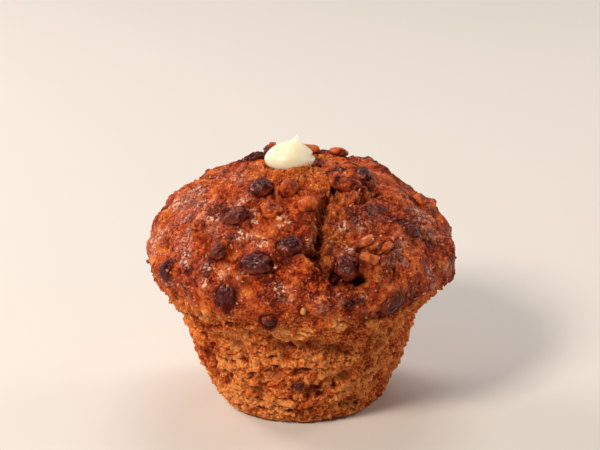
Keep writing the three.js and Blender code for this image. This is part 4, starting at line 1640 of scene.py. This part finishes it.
@dataclass
class BodyBand:
    """One band of the baked body, from start to end mm down the skin. Bands meet ring to ring."""

    skin: BakedSkin
    name: str
    start: float
    end: float
    rows: int
    around: int = 800
    foot_rows: int = 24
    cap: float = 5.0

    def build(self) -> Piece:
        """Makes the band: rings down the skin, closed inside the muffin by a shallow cone at each seam.

        The top band starts at the pole instead. The lowest also has its foot: rings at height 0 whose
        radius shrinks evenly, with pores that only go up into the body.

        Returns:
            The finished object.
        """
        coarse = 1
        around, rows = self.around // coarse, self.rows // coarse
        turn = 2 * np.pi * np.arange(around) / around
        downs = np.linspace(self.start, self.end, rows + 1)
        top, foot = self.start == 0, self.end >= self.skin.form.reach
        down, azimuth = np.meshgrid(downs[1:] if top else downs, turn, indexing="ij")
        points, values = self.skin.surface(azimuth.ravel(), down.ravel())
        first = points[:around].mean(0) * [0, 0, 1] - [0, 0, self.cap]
        first_values = {key: numbers[:1] for key, numbers in values.items()}
        last = points[-around:].mean(0) * [0, 0, 1] + [0, 0, self.cap]
        if top:
            first, first_values = self.skin.surface(np.zeros(1), np.zeros(1))
        if foot:
            under, under_values = self.foot(points[-around:], values)
            points = np.vstack([points, under])
            values = {key: np.concatenate([values[key], under_values[key]]) for key in values}
            last = np.zeros(3)
        rings = len(points) // around
        points = np.vstack([first, points, last]) + self.skin.form.shift
        for key, numbers in values.items():
            values[key] = np.concatenate([first_values[key], numbers, numbers[-1:]])
        piece = make_object(self.name, points, ring_faces(rings, around), values)
        seams = ([] if top else [1]) + ([] if foot else [1 + (rings - 1) * around])
        self.crease(piece, seams, around)
        return piece

    def foot(self, edge: Array, values: dict[str, Array]) -> tuple[Array, dict[str, Array]]:
        """Closes the stump below: rings that shrink evenly to the axis, with pores up into it.

        Args:
            edge: The lowest ring of the wall.
            values: The wall's numbers for the finish.

        Returns:
            The foot's points and its numbers.
        """
        share = np.linspace(1, 0, self.foot_rows + 1)[1:-1, None, None]
        rings = (edge[None] * share * [1, 1, 0]).reshape(-1, 3)
        relief, pit = self.skin.crumb_relief(rings * [1, 1, 0] + [0, 0, 140.0])
        pores = np.clip(0.15 - relief, 0, 1.2) * smooth(1.0, 0.94, np.repeat(share.ravel(), len(edge)))
        rings[:, 2] = pores
        numbers = {key: np.full(len(rings), np.median(wall[-len(edge) :])) for key, wall in values.items()}
        numbers["bake"] = 0.34 + 0.1 * wave_noise(rings, 9.0, 95)
        # Painted shade in the pores of the foot.
        numbers["pit"] = pit
        return rings, numbers

    @staticmethod
    def crease(piece: Piece, seams: list[int], around: int) -> None:
        """Keeps the hidden caps from bending the shading at the seams.

        Args:
            piece: The band.
            seams: First vertex of each seam's ring.
            around: Vertices in a ring.
        """
        mesh = piece.data
        ends = np.empty(2 * len(mesh.edges), np.int32)
        mesh.edges.foreach_get("vertices", ends)
        ends = ends.reshape(-1, 2)
        on_seam = np.zeros(len(ends), bool)
        for start in seams:
            on_seam |= ((ends >= start) & (ends < start + around)).all(1)
        sharp = mesh.attributes.new("sharp_edge", "BOOLEAN", "EDGE")
        sharp.data.foreach_set("value", on_seam)

    def dress(self, piece: Piece) -> None:
        """Gives the band its crust, and lets it stand for the baked body."""
        seat(piece, CrustFinish(), "crust", "muffin")


# Icing


@dataclass
class IcingDab:
    """The piped dab: wide and round below, with a peak pulled up and over to one side. Sizes in mm.

    Its outline is given by shares of the radius and by heights, from the middle of its foot to the tip.
    """

    form: MuffinForm
    radius: float = 7.4
    spot: tuple[float, float] = (-3.1, -1.4)
    sunk: float = 0.4
    lean: float = 2.1
    tilt: float = 0.24
    tip: float = 9.5
    swirl_turn: float = 0.62
    groove: tuple[float, float] = (0.1, 0.42)
    lobe: tuple[float, float] = (0.05, 0.6)
    rings: int = 90
    around: int = 120

    outline = (
        (0.0, 0.0), (0.78, 0.0), (0.95, 0.4), (1.0, 1.3), (0.97, 2.6),
        (0.87, 3.9), (0.7, 5.0), (0.47, 6.0), (0.25, 7.0), (0.1, 8.2),
    )

    def build(self) -> Piece:
        """Makes the dab by turning its outline, which the swirl then cuts and the peak pulls over.

        The outline is a smooth curve through its named points. The swirl is a groove whose angle rises as
        it goes down, with a lobe beside it; the peak moves sideways by an eased share of the height.

        Returns:
            The finished object.
        """
        knots = np.array([*self.outline, (0.0, self.tip)])[::-1]
        steps = np.linalg.norm(np.diff(knots * [self.radius, 1], axis=0), axis=1)
        spans = np.concatenate([[0], np.cumsum(steps)])
        share = np.linspace(0, spans[-1], self.rings + 2)[1:-1]
        radius = self.radius * self.eased(share, spans, knots[:, 0])
        height = self.eased(share, spans, knots[:, 1])
        turn = 2 * np.pi * np.arange(self.around) / self.around
        radius, angle = np.meshgrid(radius, turn, indexing="ij")
        height = np.repeat(height[:, None], self.around, axis=1)
        body = smooth(0.3, 1.5, height) * smooth(self.tip, self.tip - 3.2, height)
        swirl = (angle - 0.32 * np.pi + self.swirl_turn * (height - 2.0) + np.pi) % (2 * np.pi) - np.pi
        groove = self.groove[0] * bell(swirl, self.groove[1]) * body
        lobe = self.lobe[0] * bell(swirl + 0.9, self.lobe[1]) * body
        uneven = 1 + 0.025 * np.sin(2 * angle + 0.8) + 0.02 * np.sin(3 * angle - height)
        radius = radius * uneven * (1 - groove + lobe)
        level = smooth(0, 3, height) * smooth(self.tip, self.tip - 2, height)
        lean = self.lean * smooth(1.5, self.tip - 1.5, height)
        height = height * (1 - self.tilt * level * radius * np.cos(angle) / self.radius)
        points = np.stack([radius * np.cos(angle) + lean, radius * np.sin(angle), height], axis=-1)
        points = np.vstack([[self.lean, 0, self.tip], points.reshape(-1, 3), [0, 0, 0]])
        points = points + [*self.spot, self.form.top_spot(*self.spot)[2] - self.sunk] + self.form.shift
        return make_object("piped_icing", points, ring_faces(self.rings, self.around))

    @staticmethod
    def eased(share: Array, spans: Array, values: Array) -> Array:
        """Carries values along spans on cubics that leave each value along the line of its neighbours.

        Args:
            share: Where to work it out.
            spans: Where the values stand.
            values: The values.

        Returns:
            The value at each share.
        """
        slopes = np.gradient(values, spans)
        i = np.clip(np.searchsorted(spans, share) - 1, 0, len(spans) - 2)
        wide = spans[i + 1] - spans[i]
        t = (share - spans[i]) / wide
        start = (1 + 2 * t) * (1 - t) ** 2 * values[i] + t * (1 - t) ** 2 * wide * slopes[i]
        end = t**2 * (3 - 2 * t) * values[i + 1] + t**2 * (t - 1) * wide * slopes[i + 1]
        return np.maximum(start + end, 0)

    def dress(self, piece: Piece) -> None:
        """Gives the dab its icing, and lets it stand for its solid."""
        seat(piece, IcingFinish(), "icing", "icing_dab")


# Loose crumbs


@dataclass
class Scatter:
    """Many small bits of one kind, stuck to the crown from highest to lowest mm down. Sizes in mm."""

    skin: BakedSkin
    name: str
    finish: Finish
    slot: str
    count: int
    smallest: float
    largest: float
    highest: float
    lowest: float
    seed: int

    rings = 4
    around = 7
    dent = 0.3
    sunk = 0.35

    def build(self) -> Piece:
        """Makes one mesh of all the bits, each a ball of a few faces, stretched, dented and turned.

        The bits lie on the finished surface at seeded places, about evenly by area.

        Returns:
            The finished object.
        """
        rng = np.random.default_rng(self.seed)
        azimuth = rng.uniform(0, 2 * np.pi, self.count)
        down = blend(self.highest, self.lowest, np.sqrt(rng.uniform(0, 1, self.count)))
        centres, _ = self.skin.surface(azimuth, down)
        ball = unit_ball(self.rings, self.around)
        size = blend(self.smallest, self.largest, rng.uniform(0, 1, self.count) ** 2.6)[:, None, None] / 2
        stretch = rng.uniform(0.55, 1.25, (self.count, 1, 3))
        dents = 1 + self.dent * rng.uniform(-1, 1, (self.count, len(ball), 1))
        turns = np.linalg.qr(rng.normal(size=(self.count, 3, 3)))[0]
        turns *= np.sign(np.linalg.det(turns))[:, None, None]
        bits = (ball[None] * stretch * dents * size) @ turns
        points = centres[:, None] + bits - self.sunk * size * [0, 0, 1] + self.skin.form.shift
        one = ring_faces(self.rings, self.around)
        faces = [[len(ball) * k + vertex for vertex in face] for k in range(self.count) for face in one]
        tone = np.repeat(rng.uniform(0, 1, self.count), len(ball))
        values = {"ridge": blend(0.35, 0.95, tone), "bake": blend(0.3, 0.75, tone), "glaze": 0.8 + 0 * tone}
        return make_object(self.name, points.reshape(-1, 3), faces, values)

    def dress(self, piece: Piece) -> None:
        """Gives the bits their finish."""
        seat(piece, self.finish, self.slot)


# Studio


@dataclass(frozen=True)
class Lamp:
    """One square soft light: its place and side in mm, its power in watts and its hex colour."""

    name: str
    place: tuple[float, float, float]
    side: float
    watts: float
    color: str

    def hang(self, aim: Vector) -> None:
        """Hangs the light and points it at aim, a place in metres."""
        light = bpy.data.lights.new(self.name, "AREA")
        light.size, light.energy, light.color = self.side * METRES, self.watts, linear(self.color)[:3]
        holder = bpy.data.objects.new(self.name, light)
        holder.location = Vector(self.place) * METRES
        holder.rotation_euler = (aim - holder.location).to_track_quat("-Z", "Y").to_euler()
        bpy.context.scene.collection.objects.link(holder)


@dataclass
class Studio:
    """A pale floor, soft lights and the camera. Sizes in mm, angles in degrees."""

    form: MuffinForm
    aim_height: float = 55.6
    distance: float = 889.0
    pitch: float = 21.25
    lens: float = 173.9
    film: float = 36.0
    floor_side: float = 8000.0
    room: str = "#F2F1EF"
    room_light: float = 0.17
    lamps: tuple[Lamp, ...] = (
        Lamp("key_light", (-420, -520, 640), 220, 7.7, "#FFF1E2"),
        Lamp("top_light", (60, 420, 760), 420, 2.2, "#FFFFFF"),
        Lamp("left_edge_light", (-560, 420, 400), 260, 3.4, "#FFEFE8"),
        Lamp("right_edge_light", (700, 360, 300), 260, 2.5, "#FFEDE4"),
    )

    def build(self) -> None:
        """Makes the floor, the lights and the camera."""
        half = self.floor_side / 2
        corners = np.array([(-half, -half, 0), (half, -half, 0), (half, half, 0), (-half, half, 0)])
        floor = make_object("table_top", corners, [[0, 1, 2, 3]])
        floor.data.materials.append(FloorFinish().material())
        aim = Vector((*self.form.shift[:2], self.aim_height)) * METRES
        for lamp in self.lamps:
            lamp.hang(aim)
        world = bpy.data.worlds.new("soft_room")
        world.use_nodes = True
        sky = world.node_tree.nodes["Background"].inputs
        sky["Color"].default_value = linear(self.room)
        sky["Strength"].default_value = self.room_light
        bpy.context.scene.world = world
        bpy.context.scene.view_settings.view_transform = "Standard"
        self.set_camera(aim)

    def set_camera(self, aim: Vector) -> None:
        """Sets the camera up in front, pitch degrees above level, looking at aim, a place in metres."""
        camera = bpy.data.cameras.new("camera")
        camera.lens, camera.sensor_width = self.lens, self.film
        camera.clip_start, camera.clip_end = 0.01, 30
        holder = bpy.data.objects.new("camera", camera)
        tilt = math.radians(self.pitch)
        back = Vector((0, -math.cos(tilt), math.sin(tilt)))
        holder.location = aim + back * self.distance * METRES
        holder.rotation_euler = (-back).to_track_quat("-Z", "Y").to_euler()
        bpy.context.scene.collection.objects.link(holder)
        bpy.context.scene.camera = holder


def main() -> None:
    """Builds the muffin part by part, and the studio round it."""
    logging.basicConfig(level=logging.INFO, format="%(name)s: %(message)s", stream=sys.stdout)
    form = MuffinForm()
    pieces = all_pieces()
    dab = IcingDab(form)
    low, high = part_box("icing_dab")
    form.shift = np.array([*((low + high) / 2 / METRES)[:2], 0.0]) - [*dab.spot, 0.0]
    Studio(form).build()
    skin = BakedSkin(form, pieces, dab.spot, dab.radius)
    for band in (
        BodyBand(skin, "crown_top", 0, 34, 118),
        BodyBand(skin, "crown_side", 34, 66, 118),
        BodyBand(skin, "stump_side", 66, 90, 90),
        BodyBand(skin, "stump_foot", 90, form.reach, 90),
    ):
        band.dress(band.build())
    finishes = {Kind.RAISIN: RaisinFinish(), Kind.WALNUT: NutFinish(), Kind.CARROT: CarrotFinish()}
    for piece in pieces:
        seat(piece.build(form), finishes[piece.kind], piece.kind.value, piece.node)
    dab.dress(dab.build())
    seed = BakedPiece(Kind.WALNUT, *SEED, crease=SEED_CREASE).build(form)
    seed.name = "husked_seed"
    seat(seed, NutFinish("seed_husk", "#D6964E", "#B87238", "#743C1C"), "crust")
    for bits in (
        Scatter(skin, "crust_crumbs", CrustFinish(), "crust", 900, 0.6, 1.5, 9, 66, 11),
        Scatter(skin, "nut_bits", NutFinish(), "walnut", 150, 0.9, 2.7, 9, 56, 12),
    ):
        bits.dress(bits.build())


if __name__ == "__main__":
    main()
